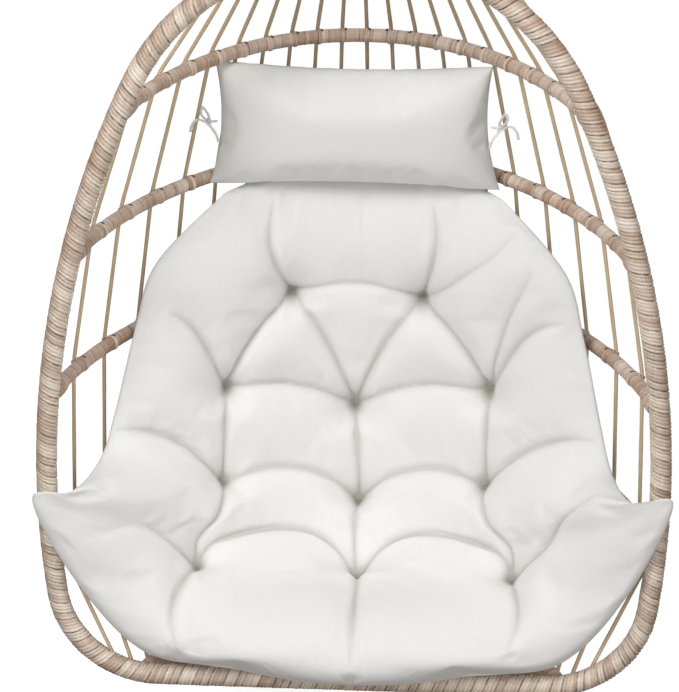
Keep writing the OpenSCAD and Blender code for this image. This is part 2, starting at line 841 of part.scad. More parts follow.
// floor of the barrel with the two ears that hold the clevis pin
module clevis() {
    color("silver")
        difference() {
            union() {
                translate([0, 0, barrel_low - plug_t])
                    cylinder(h = plug_t, d = barrel_d);
                for (m = [-1, 1])
                    translate([m * (ear_gap + ear_t) / 2, 0, 0]) {
                        translate([0, 0, pin_z])
                            rotate([0, 90, 0])
                                cylinder(h = ear_t, r = eyelet_r, center = true);
                        translate([-ear_t / 2, -eyelet_r, pin_z])
                            cube([ear_t, 2 * eyelet_r, pin_drop + e3]);
                    }
            }
            translate([0, 0, pin_z])
                rotate([0, 90, 0])
                    cylinder(h = barrel_d + 2, d = pin_d + 2 * wrap_gap, center = true);
        }
}

pin_half = ear_gap / 2 + ear_t + 1;
pin_head_t = 3;
pin_tail = 5;

module clevis_pin() {
    color("gainsboro")
        translate([0, 0, pin_z])
            rotate([0, 90, 0]) {
                translate([0, 0, -pin_half])
                    cylinder(h = 2 * pin_half + pin_tail, d = pin_d);
                translate([0, 0, -pin_half - pin_head_t])
                    cylinder(h = pin_head_t, d = pin_d + 6);
            }
}

// split ring in the groove at the pin's end
module cotter_ring() {
    color("gray")
        translate([pin_half + 1.5, 0, pin_z])
            rotate([0, 90, 0])
                difference() {
                    cylinder(h = 1.6, d = pin_d + 7);
                    translate([0, 0, -1])
                        cylinder(h = 4, d = pin_d + 2 * wrap_gap);
                }
}

// upper yoke: tongue on the clevis pin, bridge, and two rods down through the coil to the lower plate
module upper_draw_yoke() {
    bridge_h = 8;
    bridge_z = upper_plate_z + 6 + spring_rise;
    color("silver") {
        difference() {
            union() {
                translate([0, 0, pin_z])
                    rotate([0, 90, 0])
                        cylinder(h = tongue_t, r = eyelet_r, center = true);
                translate([-tongue_t / 2, -eyelet_r, bridge_z + bridge_h - e3])
                    cube([tongue_t, 2 * eyelet_r, pin_z - bridge_z - bridge_h + e3]);
            }
            translate([0, 0, pin_z])
                rotate([0, 90, 0])
                    cylinder(h = barrel_d, d = pin_d + 2 * run_gap, center = true);
        }
        translate([-rod_reach - rod_d, -eyelet_r, bridge_z])
            cube([2 * rod_reach + 2 * rod_d, 2 * eyelet_r, bridge_h]);
        for (m = [-1, 1])
            translate([m * rod_reach, 0, coil_low - plate_t])
                cylinder(h = bridge_z - coil_low + plate_t + e3, d = rod_d);
    }
}

module spring_plate(z, fixed_along_x) {
    color("silver")
        translate([0, 0, z])
            difference() {
                cylinder(h = plate_t, d = plate_d);
                for (a = [0, 90, 180, 270])
                    rotate([0, 0, a])
                        translate([rod_reach, 0, -1])
                            cylinder(
                                h = plate_t + 2,
                                d = rod_d + 2 * ((a % 180 == 0) == fixed_along_x ? run_gap : loose_gap)
                            );
            }
}

module lower_plate() {
    spring_plate(coil_low - plate_t, true);
}

module upper_plate() {
    spring_plate(upper_plate_z - plate_t, false);
}

// one unbroken wire wound on a helix
wire_sides = 6;
rings_per_turn = 8;
helix_r = coil_d / 2 - coil_wire_d / 2;
helix_gap = loose_gap;

module coil_spring() {
    rings = coil_turns * rings_per_turn;
    rise = (coil_len - coil_wire_d - 2 * helix_gap) / rings;
    points = [
        for (i = [0:rings], j = [0:wire_sides - 1]) let (
                a = 360 * i / rings_per_turn,
                b = 360 * j / wire_sides,
                r = helix_r + coil_wire_d / 2 * cos(b)
            )
            [r * cos(a), r * sin(a), coil_low + helix_gap + coil_wire_d / 2 * (1 + sin(b)) + i * rise]
    ];
    sides = [
        for (i = [0:rings - 1], j = [0:wire_sides - 1]) let (
                a = i * wire_sides + j,
                b = i * wire_sides + (j + 1) % wire_sides
            )
            each cell(a, b, b + wire_sides, a + wire_sides)
    ];
    caps = [
        for (j = [1:wire_sides - 2]) each [
            [0, j + 1, j],
            [rings * wire_sides, rings * wire_sides + j, rings * wire_sides + j + 1]
        ]
    ];
    color("dimgray")
        polyhedron(points = points, faces = concat(sides, caps), convexity = 10);
    echo(coil_gap = (coil_len - coil_wire_d) / coil_turns - coil_wire_d);
}

// lower yoke: two rods up to the upper plate, bridge, and the eye the snap hook hangs in
module lower_draw_yoke() {
    bridge_h = 8;
    color("silver") {
        for (m = [-1, 1])
            translate([0, m * rod_reach, lower_yoke_z - e3])
                cylinder(h = upper_plate_z - lower_yoke_z + e3, d = rod_d);
        translate([-low_eye_t / 2, -rod_reach - rod_d, lower_yoke_z - bridge_h])
            cube([low_eye_t, 2 * rod_reach + 2 * rod_d, bridge_h]);
        difference() {
            union() {
                translate([0, 0, low_eye_z])
                    rotate([90, 0, 0])
                        cylinder(h = low_eye_t, r = low_eye_r + 7, center = true);
                translate([-low_eye_t / 2, -low_eye_t / 2, low_eye_z + low_eye_r + 3])
                    cube([low_eye_t, low_eye_t, lower_yoke_z - bridge_h - low_eye_z - low_eye_r - 3 + e3]);
            }
            translate([0, 0, low_eye_z])
                rotate([90, 0, 0])
                    cylinder(h = low_eye_t + 2, r = low_eye_r, center = true);
        }
    }
}

// ---- snap hook: a long link in the YZ plane whose front leg is a sprung gate ----

hook_wire_r = hook_wire_d / 2;
gate_r = hook_wire_r - 0.8;
gate_pin_d = 3;
gate_stub = 9;
tongue_half = 2;
gate_top_z = hook_arc_top_z - gate_stub + 5;
gate_len = gate_top_z - hook_arc_low_z - 2 * loose_gap;
tongue_len = 9.5;

module hook_plane() {
    rotate([0, 0, -90])
        rotate([90, 0, 0])
            children();
}

// X of this plane points to the front of the chair
module snap_hook() {
    color("silver")
        difference() {
            union() {
                hook_plane() {
                    translate([0, hook_arc_top_z])
                        arc(hook_half_w, 0, 180, hook_wire_r);
                    translate([0, hook_arc_low_z])
                        arc(hook_half_w, 180, 180, hook_wire_r);
                }
                translate([0, hook_half_w, hook_arc_low_z])
                    cylinder(h = hook_leg, r = hook_wire_r);
                translate([0, -hook_half_w, hook_arc_top_z - gate_stub])
                    cylinder(h = gate_stub, r = hook_wire_r);
            }
            translate([-tongue_half - loose_gap, -hook_half_w - hook_wire_d, hook_arc_top_z - gate_stub - 1])
                cube([2 * tongue_half + 2 * loose_gap, 2 * hook_wire_d, gate_stub + 0.5]);
            translate([0, -hook_half_w, gate_top_z])
                rotate([0, 90, 0])
                    cylinder(h = 2 * hook_wire_d, d = gate_pin_d + 2 * wrap_gap, center = true);
        }
}

module hook_gate() {
    color("gainsboro")
        difference() {
            union() {
                translate([0, -hook_half_w, gate_top_z - gate_len])
                    cylinder(h = gate_len - tongue_len + 1.5, r = gate_r);
                translate([-tongue_half, -hook_half_w - gate_r + 1, gate_top_z - tongue_len])
                    cube([2 * tongue_half, 2 * gate_r - 2, tongue_len]);
                translate([0, -hook_half_w, gate_top_z])
                    rotate([0, 90, 0])
                        cylinder(h = 2 * tongue_half, r = gate_r - 1, center = true);
            }
            translate([0, -hook_half_w, gate_top_z])
                rotate([0, 90, 0])
                    cylinder(h = hook_wire_d, d = gate_pin_d + 2 * run_gap, center = true);
        }
}

module gate_pin() {
    color("gray")
        translate([0, -hook_half_w, gate_top_z])
            rotate([0, 90, 0])
                cylinder(h = hook_wire_d + 1, d = gate_pin_d, center = true);
}

module hang_ring() {
    color("silver") {
        translate([0, 0, ring_z])
            rotate([90, 0, 0])
                arc(ring_r, 0, 360, ring_wire_r);
        translate([0, 0, apex_z + rim_tube_r - 1])
            cylinder(h = neck_h + 2, d = neck_d);
    }
}

top_eye();
lower_race();
bearing_balls();
upper_race();
swivel_barrel();
clevis();
clevis_pin();
cotter_ring();
upper_draw_yoke();
lower_plate();
coil_spring();
lower_draw_yoke();
upper_plate();
snap_hook();
hook_gate();
gate_pin();
hung() hang_ring();
hung() front_rim_tube();
hung() front_rim_wrap();
for (i = [1:5]) {
    hung() hoop_tube(i - 1);
    hung() hoop_wrap(i - 1);
}
hung() joint_wraps();
hung() crown_loop();
hung() crown_wrap();
hung() seat_ring_tube();
hung() seat_ring_wrap();
hung() cross_tubes();
hung() seat_mat();
hung() cord_middle();
for (k = [1:cord_pairs])
    hung() cord_pair(k);
hung() seat_cushion();
hung() head_pillow();
hung() pillow_tie_left();
hung() pillow_tie_right();
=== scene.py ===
import bpy
import math
import numpy as np
from mathutils import Matrix, Vector


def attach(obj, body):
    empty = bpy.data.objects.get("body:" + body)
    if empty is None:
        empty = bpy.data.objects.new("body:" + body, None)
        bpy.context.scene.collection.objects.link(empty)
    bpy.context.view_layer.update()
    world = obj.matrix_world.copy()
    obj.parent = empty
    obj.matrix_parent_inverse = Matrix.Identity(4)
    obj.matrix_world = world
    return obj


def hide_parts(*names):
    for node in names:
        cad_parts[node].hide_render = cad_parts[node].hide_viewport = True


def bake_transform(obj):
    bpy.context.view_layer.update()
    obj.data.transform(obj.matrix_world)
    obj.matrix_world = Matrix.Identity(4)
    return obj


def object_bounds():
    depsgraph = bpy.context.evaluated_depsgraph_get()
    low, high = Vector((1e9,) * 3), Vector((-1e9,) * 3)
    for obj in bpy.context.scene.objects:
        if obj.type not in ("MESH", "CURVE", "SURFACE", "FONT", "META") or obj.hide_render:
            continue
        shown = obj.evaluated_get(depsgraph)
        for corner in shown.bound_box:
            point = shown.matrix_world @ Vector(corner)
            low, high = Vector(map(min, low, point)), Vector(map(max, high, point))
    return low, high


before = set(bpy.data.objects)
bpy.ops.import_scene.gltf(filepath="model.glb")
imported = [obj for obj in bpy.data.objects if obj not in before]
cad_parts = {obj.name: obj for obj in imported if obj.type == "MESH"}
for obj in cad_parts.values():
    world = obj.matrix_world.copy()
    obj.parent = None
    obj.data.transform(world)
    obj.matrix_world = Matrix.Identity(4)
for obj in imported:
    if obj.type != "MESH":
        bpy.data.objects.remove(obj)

scene = bpy.context.scene
scene.view_settings.view_transform = "Standard"
cadLow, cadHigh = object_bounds()
rng = np.random.default_rng(21)
print("frame loaded,", len(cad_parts), "parts")

# basket sizes, in metres and degrees
rim = dict(barHalf=0.329, cornerRadius=0.172, cornerSweep=83, sideRadius=1.65, sideSweep=32, lean=7,
           wrapRadius=0.018)
hoop = dict(heights=[0.263, 0.506, 0.749, 0.992, 1.189], depthRatio=0.93, backSweep=38, toe=14,
            wrapRadius=0.012)
ring = dict(halfWidth=0.36, depthRatio=0.8, toe=27)
crown = dict(halfWidth=0.072, depth=0.055, share=0.85, wrapRadius=0.009, sweep=84)
cord = dict(pairs=10, radius=0.003, fullness=1.15, gap=0.0015, fanLinear=66, fanCubic=24, lastOnRim=11,
            lastOnRing=9, cornerEnds=[14, 24], sunk=0.002, round=9, uneven=0.04)
joint = dict(start=0.0195, length=0.034, grow=0.004, middle=0.45, fade=0.75)


def rad(a):
    return math.radians(a)


# paths
# points on an arc in a plane
def arcPoints(centre, radius, startDeg, endDeg, count):
    angles = np.radians(np.linspace(startDeg, endDeg, count))
    return np.stack([centre[0] + radius * np.cos(angles), centre[1] + radius * np.sin(angles)], axis=1)


cornerX = rim["barHalf"] + rim["cornerRadius"] * math.sin(rad(rim["cornerSweep"]))
cornerZ = rim["cornerRadius"] * (1 - math.cos(rad(rim["cornerSweep"])))
sideEnd = rim["cornerSweep"] + rim["sideSweep"]
sideX = cornerX + rim["sideRadius"] * (math.sin(rad(sideEnd)) - math.sin(rad(rim["cornerSweep"])))
sideZ = cornerZ + rim["sideRadius"] * (math.cos(rad(rim["cornerSweep"])) - math.cos(rad(sideEnd)))
topRadius = sideX / math.sin(rad(sideEnd))
rimHeight = sideZ + topRadius * (1 + math.cos(rad(sideEnd)))
leanSin, leanCos = math.sin(rad(rim["lean"])), math.cos(rad(rim["lean"]))

# The basket is drawn upright from the middle of its bottom bar, then tipped back about the ring's wire.
hang = dict(ringTop=-0.3676, apex=-0.4323, tilt=6.3)
bar = Vector((0, -rimHeight * leanSin, hang["apex"] - rimHeight * leanCos))
tip = Matrix.Translation((0, 0, hang["ringTop"])) @ Matrix.Rotation(-rad(hang["tilt"]), 4, "X") \
    @ Matrix.Translation((0, 0, -hang["ringTop"]))


def rimPlane(points):
    flat = np.asarray(points)
    return np.stack([flat[:, 0], bar.y + flat[:, 1] * leanSin, bar.z + flat[:, 1] * leanCos], axis=1)


# half the rim from the middle of the bar up to the apex, then mirrored into a closed loop
def rimOutline():
    half = [np.stack([np.linspace(0, rim["barHalf"], 20), np.zeros(20)], axis=1)]
    half.append(arcPoints((rim["barHalf"], rim["cornerRadius"]), rim["cornerRadius"], -90,
                          rim["cornerSweep"] - 90, 24)[1:])
    sideCentre = (cornerX - rim["sideRadius"] * math.sin(rad(rim["cornerSweep"])),
                  cornerZ + rim["sideRadius"] * math.cos(rad(rim["cornerSweep"])))
    half.append(arcPoints(sideCentre, rim["sideRadius"], rim["cornerSweep"] - 90, sideEnd - 90, 60)[1:])
    half.append(arcPoints((0, rimHeight - topRadius), topRadius, sideEnd - 90, 90, 40)[1:])
    right = np.concatenate(half)
    left = right[::-1][1:-1] * np.array([-1, 1])
    return rimPlane(np.concatenate([right, left]))


def rimHalfWidth(height):
    s = height / leanCos
    if s < cornerZ:
        return rim["barHalf"] + rim["cornerRadius"] * math.sin(math.acos(1 - s / rim["cornerRadius"]))
    if s < sideZ:
        a = math.acos(math.cos(rad(rim["cornerSweep"])) - (s - cornerZ) / rim["sideRadius"])
        return cornerX + rim["sideRadius"] * (math.sin(a) - math.sin(rad(rim["cornerSweep"])))
    return topRadius * math.sin(math.acos(math.cos(rad(sideEnd)) - (s - sideZ) / topRadius))


def rimBack(height):
    return height * math.tan(rad(rim["lean"]))


# a hoop: a tight curve at the back and a wide one out to each end, level at its height
class Bow:

    def __init__(self, halfWidth, depth, toe, height):
        s, c = math.sin(rad(hoop["backSweep"])), math.cos(rad(hoop["backSweep"]))
        sinToe, cosToe = math.sin(rad(toe)), math.cos(rad(toe))
        det = s * (c - sinToe) - (cosToe - s) * (1 - c)
        self.halfWidth, self.depth, self.toe, self.height = halfWidth, depth, toe, height
        self.tight = (halfWidth * (c - sinToe) - depth * (cosToe - s)) / det
        self.wide = (s * depth - (1 - c) * halfWidth) / det
        self.sinBack, self.cosBack = s, c

    def heading(self, x):
        if abs(x) <= self.tight * self.sinBack:
            return math.asin(abs(x) / self.tight)
        return math.asin(min(1, (abs(x) - self.tight * self.sinBack) / self.wide + self.sinBack))

    def depthAt(self, x):
        a = self.heading(x)
        if a <= rad(hoop["backSweep"]):
            return self.depth - self.tight * (1 - math.cos(a))
        return self.depth - self.tight * (1 - self.cosBack) - self.wide * (self.cosBack - math.cos(a))

    def point(self, x):
        return Vector((x, bar.y + rimBack(self.height) + self.depthAt(x), bar.z + self.height))

    def outward(self, x):
        a = self.heading(x)
        return Vector((math.copysign(math.sin(a), x), math.cos(a), 0))

    # evenly headed points from the right end round the back to the left end
    def path(self, trim):
        endHeading = 90 - self.toe - math.degrees(trim / self.wide)
        headings = np.radians(np.linspace(0, endHeading, 70))
        points = []
        for a in headings:
            if a <= rad(hoop["backSweep"]):
                x = self.tight * math.sin(a)
            else:
                x = self.tight * self.sinBack + self.wide * (math.sin(a) - self.sinBack)
            points.append(self.point(x))
        right = np.array([list(p) for p in points])
        left = right[1:] * np.array([-1, 1, 1])
        return np.concatenate([right[::-1], left])


bows = [Bow(rimHalfWidth(h), rimHalfWidth(h) * hoop["depthRatio"], hoop["toe"], h) for h in hoop["heights"]]
ringBow = Bow(ring["halfWidth"], ring["halfWidth"] * ring["depthRatio"], ring["toe"], 0)

crownRadius = (crown["halfWidth"] ** 2 + crown["depth"] ** 2) / (2 * crown["depth"])
crownDrop = topRadius - math.sqrt(topRadius ** 2 - crown["halfWidth"] ** 2)
crownHeight = (rimHeight - crownDrop) * leanCos


def crownPoint(x):
    return Vector((x, bar.y + rimBack(crownHeight) + crown["depth"] - crownRadius
                   + math.sqrt(crownRadius ** 2 - x * x), bar.z + crownHeight))


# mesh helpers
def makeObject(name, verts, faces, uvs=None, fields=None):
    mesh = bpy.data.meshes.new(name)
    mesh.from_pydata([tuple(v) for v in verts], [], [tuple(f) for f in faces])
    if uvs is not None:
        layer = mesh.uv_layers.new(name="along")
        layer.data.foreach_set("uv", np.asarray(uvs, dtype=np.float32).ravel())
    for key, values in (fields or {}).items():
        attribute = mesh.attributes.new(key, "FLOAT", "POINT")
        attribute.data.foreach_set("value", np.asarray(values, dtype=np.float32))
    mesh.validate()
    mesh.shade_smooth()
    piece = bpy.data.objects.new(name, mesh)
    scene.collection.objects.link(piece)
    return piece


def lengthAlong(points, closed):
    loop = np.concatenate([points, points[:1]]) if closed else points
    steps = np.linalg.norm(np.diff(loop, axis=0), axis=1)
    return loop, np.concatenate([[0], np.cumsum(steps)])


# two directions square to a free route, carried along it without a twist
def carriedFrames(points):
    tangents = np.gradient(points, axis=0)
    tangents /= np.linalg.norm(tangents, axis=1)[:, None]
    side = np.cross(tangents[0], [0.3, 0.9, 0.1])
    sides = []
    for t in tangents:
        side = side - t * np.dot(side, t)
        side = side / np.linalg.norm(side)
        sides.append(side)
    sides = np.array(sides)
    return sides, np.cross(tangents, sides)


# faces between rings of points that follow each other, with a cap at each end
def tubeFaces(base, rings, sides):
    faces = []
    for i in range(rings - 1):
        near, far = base + i * sides, base + (i + 1) * sides
        for a in range(sides):
            b = (a + 1) % sides
            faces.append((near + a, near + b, far + b, far + a))
    faces.append(tuple(base + a for a in range(sides - 1, -1, -1)))
    faces.append(tuple(base + (rings - 1) * sides + a for a in range(sides)))
    return faces


# a round tube along a free route, its radius given at each point
def sweep(name, points, radii, sides):
    points = np.asarray(points, dtype=float)
    count = len(points)
    across, up = carriedFrames(points)
    angles = 2 * np.pi * np.arange(sides) / sides
    radii = np.broadcast_to(np.asarray(radii, dtype=float), (count,))
    verts = (points[:, None, :] + radii[:, None, None] * (np.cos(angles)[None, :, None] * across[:, None, :]
             + np.sin(angles)[None, :, None] * up[:, None, :])).reshape(-1, 3)
    _, along = lengthAlong(points, False)
    uvs = []
    for i in range(count - 1):
        for j in range(sides):
            uvs += [(along[i], j / sides), (along[i], (j + 1) / sides), (along[i + 1], (j + 1) / sides),
                    (along[i + 1], j / sides)]
    uvs += [(0, j / sides) for j in range(sides)] + [(along[-1], j / sides) for j in range(sides)]
    return makeObject(name, verts, tubeFaces(0, count, sides), uvs)


# one strip of the winding, across its width: share of the pitch, and height in metres
def stripProfile(groove, crownHeight):
    return [(0.0, -groove), (0.2, crownHeight * 0.5), (0.5, crownHeight), (0.82, crownHeight * 0.4)]


# depths in shares of a wrap's groove: plain grooves, the wider partings between groups, and the depth painted
# fully dark with shade.
# Then how much of a strip's tone its group sets, and how much painted shade a strip gets just before and
# after a groove
strips = dict(deepest=0.9, parting=1.5, partingMore=0.7, fullDepth=2.2, groupShare=0.55, before=0.35,
              after=0.3)


# flat strips wound round a planar tube. The rows of the mesh follow the helix of the strip
def windTube(name, points, radius, normal, closed, wrap, swell=None):
    loop, along = lengthAlong(np.asarray(points, dtype=float), closed)
    total = along[-1]
    turns = max(4, int(round(total / wrap["pitch"])))
    pitch = total / turns
    starts = wrap["starts"]
    profile = stripProfile(wrap["groove"], wrap["crown"])
    perStrip, sides = len(profile), wrap["sides"]
    normal = np.asarray(normal, dtype=float)

    depthOf = wrap["even"] + (strips["deepest"] - wrap["even"]) * rng.random(turns) ** 1.5
    groupLeft, groupTone, toneOf = 0, 0, np.zeros(turns)
    for i in range(turns):
        if groupLeft == 0:
            groupLeft = rng.integers(wrap["group"][0], wrap["group"][1] + 1)
            groupTone = rng.random()
            depthOf[i] = strips["parting"] + strips["partingMore"] * rng.random()
        toneOf[i] = strips["groupShare"] * groupTone + (1 - strips["groupShare"]) * rng.random()
        groupLeft -= 1
    liftOf = wrap["jitter"] * (rng.random(turns) - 0.5)

    rows = turns * perStrip
    row, side = np.meshgrid(np.arange(rows), np.arange(sides), indexing="ij")
    strip, part = row // perStrip, row % perStrip
    share = np.array([p[0] for p in profile])[part]
    height = np.array([p[1] for p in profile])[part]
    height = np.where(part == 0, height * depthOf[strip], height) + liftOf[strip]
    s = (strip + share) * pitch + wrap["hand"] * starts * pitch * side / sides
    s = np.mod(s, total) if closed else s * total / (total + starts * pitch)
    angle = 2 * np.pi * side / sides
    centre = np.stack([np.interp(s, along, loop[:, a]) for a in range(3)], axis=-1)
    step = total * 1e-4
    ahead = np.mod(s + step, total) if closed else np.minimum(s + step, total)
    behind = np.mod(s - step, total) if closed else np.maximum(s - step, 0)
    tangent = np.stack([np.interp(ahead, along, loop[:, a]) - np.interp(behind, along, loop[:, a])
                        for a in range(3)], axis=-1)
    tangent /= np.linalg.norm(tangent, axis=-1, keepdims=True)
    outward = np.cross(tangent, normal)
    r = radius + height
    if swell is not None:
        r = r + swell(s, total)
    verts = centre + r[..., None] * (np.cos(angle)[..., None] * outward
                                     + np.sin(angle)[..., None] * normal)
    faces, uvs = [], []
    turn = wrap["hand"] * perStrip * starts
    for i in range(rows if closed else rows - 1):
        for j in range(sides):
            last = j == sides - 1
            a, b = i, i + 1
            c, d = (a + turn, b + turn) if last else (a, b)
            if not closed and d > rows - 1:
                continue
            a, b, c, d = a % rows, b % rows, c % rows, d % rows
            k = 0 if last else j + 1
            faces.append((a * sides + j, b * sides + j, d * sides + k, c * sides + k))
            base = i / perStrip * pitch
            near = base + wrap["hand"] * starts * pitch * j / sides
            far = near + wrap["hand"] * starts * pitch / sides
            width = pitch / perStrip
            uvs += [(near, j / sides), (near + width, j / sides), (far + width, (j + 1) / sides),
                    (far, (j + 1) / sides)]
    if not closed:
        caps = [list(range(sides)) + [a * sides for a in range(turn, 0, -1)],
                [(rows - 1) * sides + j for j in range(sides)]
                + [a * sides + sides - 1 for a in range(rows - 2, rows - 2 - turn, -1)]]
        for cap in (caps[0], caps[1][::-1]):
            faces.append(tuple(cap))
            uvs += [(0.0, 0.0)] * len(cap)
    # deeper grooves get more painted shade, and some of it spreads onto the strips just before and after them
    parted = np.clip(depthOf / strips["fullDepth"], 0, 1)
    before = strips["before"] * parted[strip] ** 2
    after = strips["after"] * np.roll(parted, -1)[strip] ** 2
    beside = np.where(part == 1, before, np.where(part == 3, after, 0))
    grooveShade = np.where(part == 0, parted[strip], beside)
    # the side of the winding that faces into the basket is darkened: partly painted shade, partly dirt
    innerShadeAndDirt = np.clip(0.5 - 0.5 * wrap["outerSide"] * np.cos(angle), 0, 1) ** 2
    fields = dict(tone=toneOf[strip].ravel(), groove=grooveShade.ravel(), innerShadeAndDirt=innerShadeAndDirt.ravel())
    return makeObject(name, verts.reshape(-1, 3), faces, uvs, fields)


# materials
def nodeGroup(name, inputs, outputs):
    group = bpy.data.node_groups.new(name, "ShaderNodeTree")
    for label, kind, value in inputs:
        socket = group.interface.new_socket(name=label, in_out="INPUT", socket_type=kind)
        if value is not None:
            socket.default_value = value
    for label, kind in outputs:
        group.interface.new_socket(name=label, in_out="OUTPUT", socket_type=kind)
    return group, group.nodes.new("NodeGroupInput"), group.nodes.new("NodeGroupOutput")


def add(tree, kind, **values):
    node = tree.nodes.new(kind)
    for key, value in values.items():
        setattr(node, key, value)
    return node


def noise(tree, vector, detail, scale=1.0):
    node = add(tree, "ShaderNodeTexNoise")
    node.inputs["Scale"].default_value = scale
    node.inputs["Detail"].default_value = detail
    tree.links.new(vector, node.inputs["Vector"])
    return node


def math2(tree, operation, a, b=None, clamp=False):
    node = add(tree, "ShaderNodeMath", operation=operation, use_clamp=clamp)
    for i, value in enumerate((a, b)):
        if value is None:
            continue
        if isinstance(value, (int, float)):
            node.inputs[i].default_value = value
        else:
            tree.links.new(value, node.inputs[i])
    return node.outputs[0]


# values times their shares, added up, less an offset, and kept between 0 and 1
def weigh(tree, offset, *parts):
    total = None
    for value, share in parts:
        part = math2(tree, "MULTIPLY", value, share)
        total = part if total is None else math2(tree, "ADD", total, part)
    return math2(tree, "SUBTRACT", total, offset, clamp=True)


# how far a value is over a level, times a gain, and kept between 0 and 1
def over(tree, value, level, gain):
    return math2(tree, "MULTIPLY", math2(tree, "SUBTRACT", value, level), gain, clamp=True)


def mixColour(tree, factor, a, b, blend="MIX"):
    node = add(tree, "ShaderNodeMix", data_type="RGBA", blend_type=blend)
    for index, value in ((0, factor), (6, a), (7, b)):
        if isinstance(value, (int, float)):
            node.inputs[index].default_value = value
        elif isinstance(value, tuple):
            node.inputs[index].default_value = value
        else:
            tree.links.new(value, node.inputs[index])
    return node.outputs[2]


# a colour as it is seen on a screen, turned to the linear values that Blender works in
def colour(hexCode):
    parts = [int(hexCode[i:i + 2], 16) / 255 for i in (1, 3, 5)]
    return tuple(p / 12.92 if p <= 0.04045 else ((p + 0.055) / 1.055) ** 2.4 for p in parts) + (1.0,)


# fine streaks along a strip or cord, from its UV map in metres
def buildFibreGroup():
    group, inp, out = nodeGroup("fibreStreaks", [("UV", "NodeSocketVector", None),
                                                 ("Across", "NodeSocketFloat", 40.0),
                                                 ("Along", "NodeSocketFloat", 60.0),
                                                 ("Seed", "NodeSocketFloat", 0.0)],
                                [("Value", "NodeSocketFloat")])
    split = add(group, "ShaderNodeSeparateXYZ")
    group.links.new(inp.outputs["UV"], split.inputs[0])
    join = add(group, "ShaderNodeCombineXYZ")
    group.links.new(math2(group, "MULTIPLY", split.outputs[0], inp.outputs["Along"]), join.inputs[0])
    group.links.new(math2(group, "MULTIPLY", split.outputs[1], inp.outputs["Across"]), join.inputs[1])
    group.links.new(inp.outputs["Seed"], join.inputs[2])
    streaks = noise(group, join.outputs[0], 4.0)
    streaks.inputs["Roughness"].default_value = 0.6
    group.links.new(streaks.outputs["Fac"], out.inputs["Value"])
    return group


# slow change over the whole piece, such as fading
def buildMottleGroup():
    group, inp, out = nodeGroup("mottle", [("Scale", "NodeSocketFloat", 6.0)],
                                [("Value", "NodeSocketFloat")])
    place = add(group, "ShaderNodeTexCoord")
    patches = noise(group, place.outputs["Object"], 3.0)
    group.links.new(inp.outputs["Scale"], patches.inputs["Scale"])
    group.links.new(patches.outputs["Fac"], out.inputs["Value"])
    return group


# diagonal twill weave on cloth: a height and a faint colour change
def buildTwillGroup():
    group, inp, out = nodeGroup("twillWeave", [("Threads", "NodeSocketFloat", 900.0)],
                                [("Height", "NodeSocketFloat"), ("Tone", "NodeSocketFloat")])
    place = add(group, "ShaderNodeTexCoord")
    turn = add(group, "ShaderNodeMapping")
    turn.inputs["Rotation"].default_value = (rad(35), rad(20), rad(38))
    group.links.new(place.outputs["Object"], turn.inputs["Vector"])
    split = add(group, "ShaderNodeSeparateXYZ")
    group.links.new(turn.outputs[0], split.inputs[0])
    waves = []
    for axis in range(3):
        angle = math2(group, "MULTIPLY", split.outputs[axis], inp.outputs["Threads"])
        waves.append(math2(group, "SINE", math2(group, "MULTIPLY", angle, 2 * math.pi)))
    rib = math2(group, "ADD", waves[0], math2(group, "MULTIPLY", waves[1], 0.5))
    group.links.new(math2(group, "ADD", math2(group, "MULTIPLY", rib, 0.3), 0.5), out.inputs["Height"])
    group.links.new(noise(group, place.outputs["Object"], 3.0, 160.0).outputs["Fac"], out.inputs["Tone"])
    return group


fibreGroup = buildFibreGroup()
mottleGroup = buildMottleGroup()
twillGroup = buildTwillGroup()


def placeGroup(tree, group, **values):
    node = add(tree, "ShaderNodeGroup", node_tree=group)
    for key, value in values.items():
        node.inputs[key].default_value = value
    return node


def newMaterial(name, roughness, metallic=0.0):
    material = bpy.data.materials.new(name)
    material.use_nodes = True
    shader = material.node_tree.nodes["Principled BSDF"]
    shader.inputs["Roughness"].default_value = roughness
    shader.inputs["Metallic"].default_value = metallic
    return material, material.node_tree, shader


def bumpFrom(tree, shader, height, strength, distance):
    bump = add(tree, "ShaderNodeBump")
    bump.inputs["Strength"].default_value = strength
    bump.inputs["Distance"].default_value = distance
    tree.links.new(height, bump.inputs["Height"])
    tree.links.new(bump.outputs[0], shader.inputs["Normal"])
    return bump


def roughnessFrom(tree, shader, value, low, high):
    spread = add(tree, "ShaderNodeMapRange")
    spread.inputs["To Min"].default_value = low
    spread.inputs["To Max"].default_value = high
    tree.links.new(value, spread.inputs["Value"])
    tree.links.new(spread.outputs[0], shader.inputs["Roughness"])
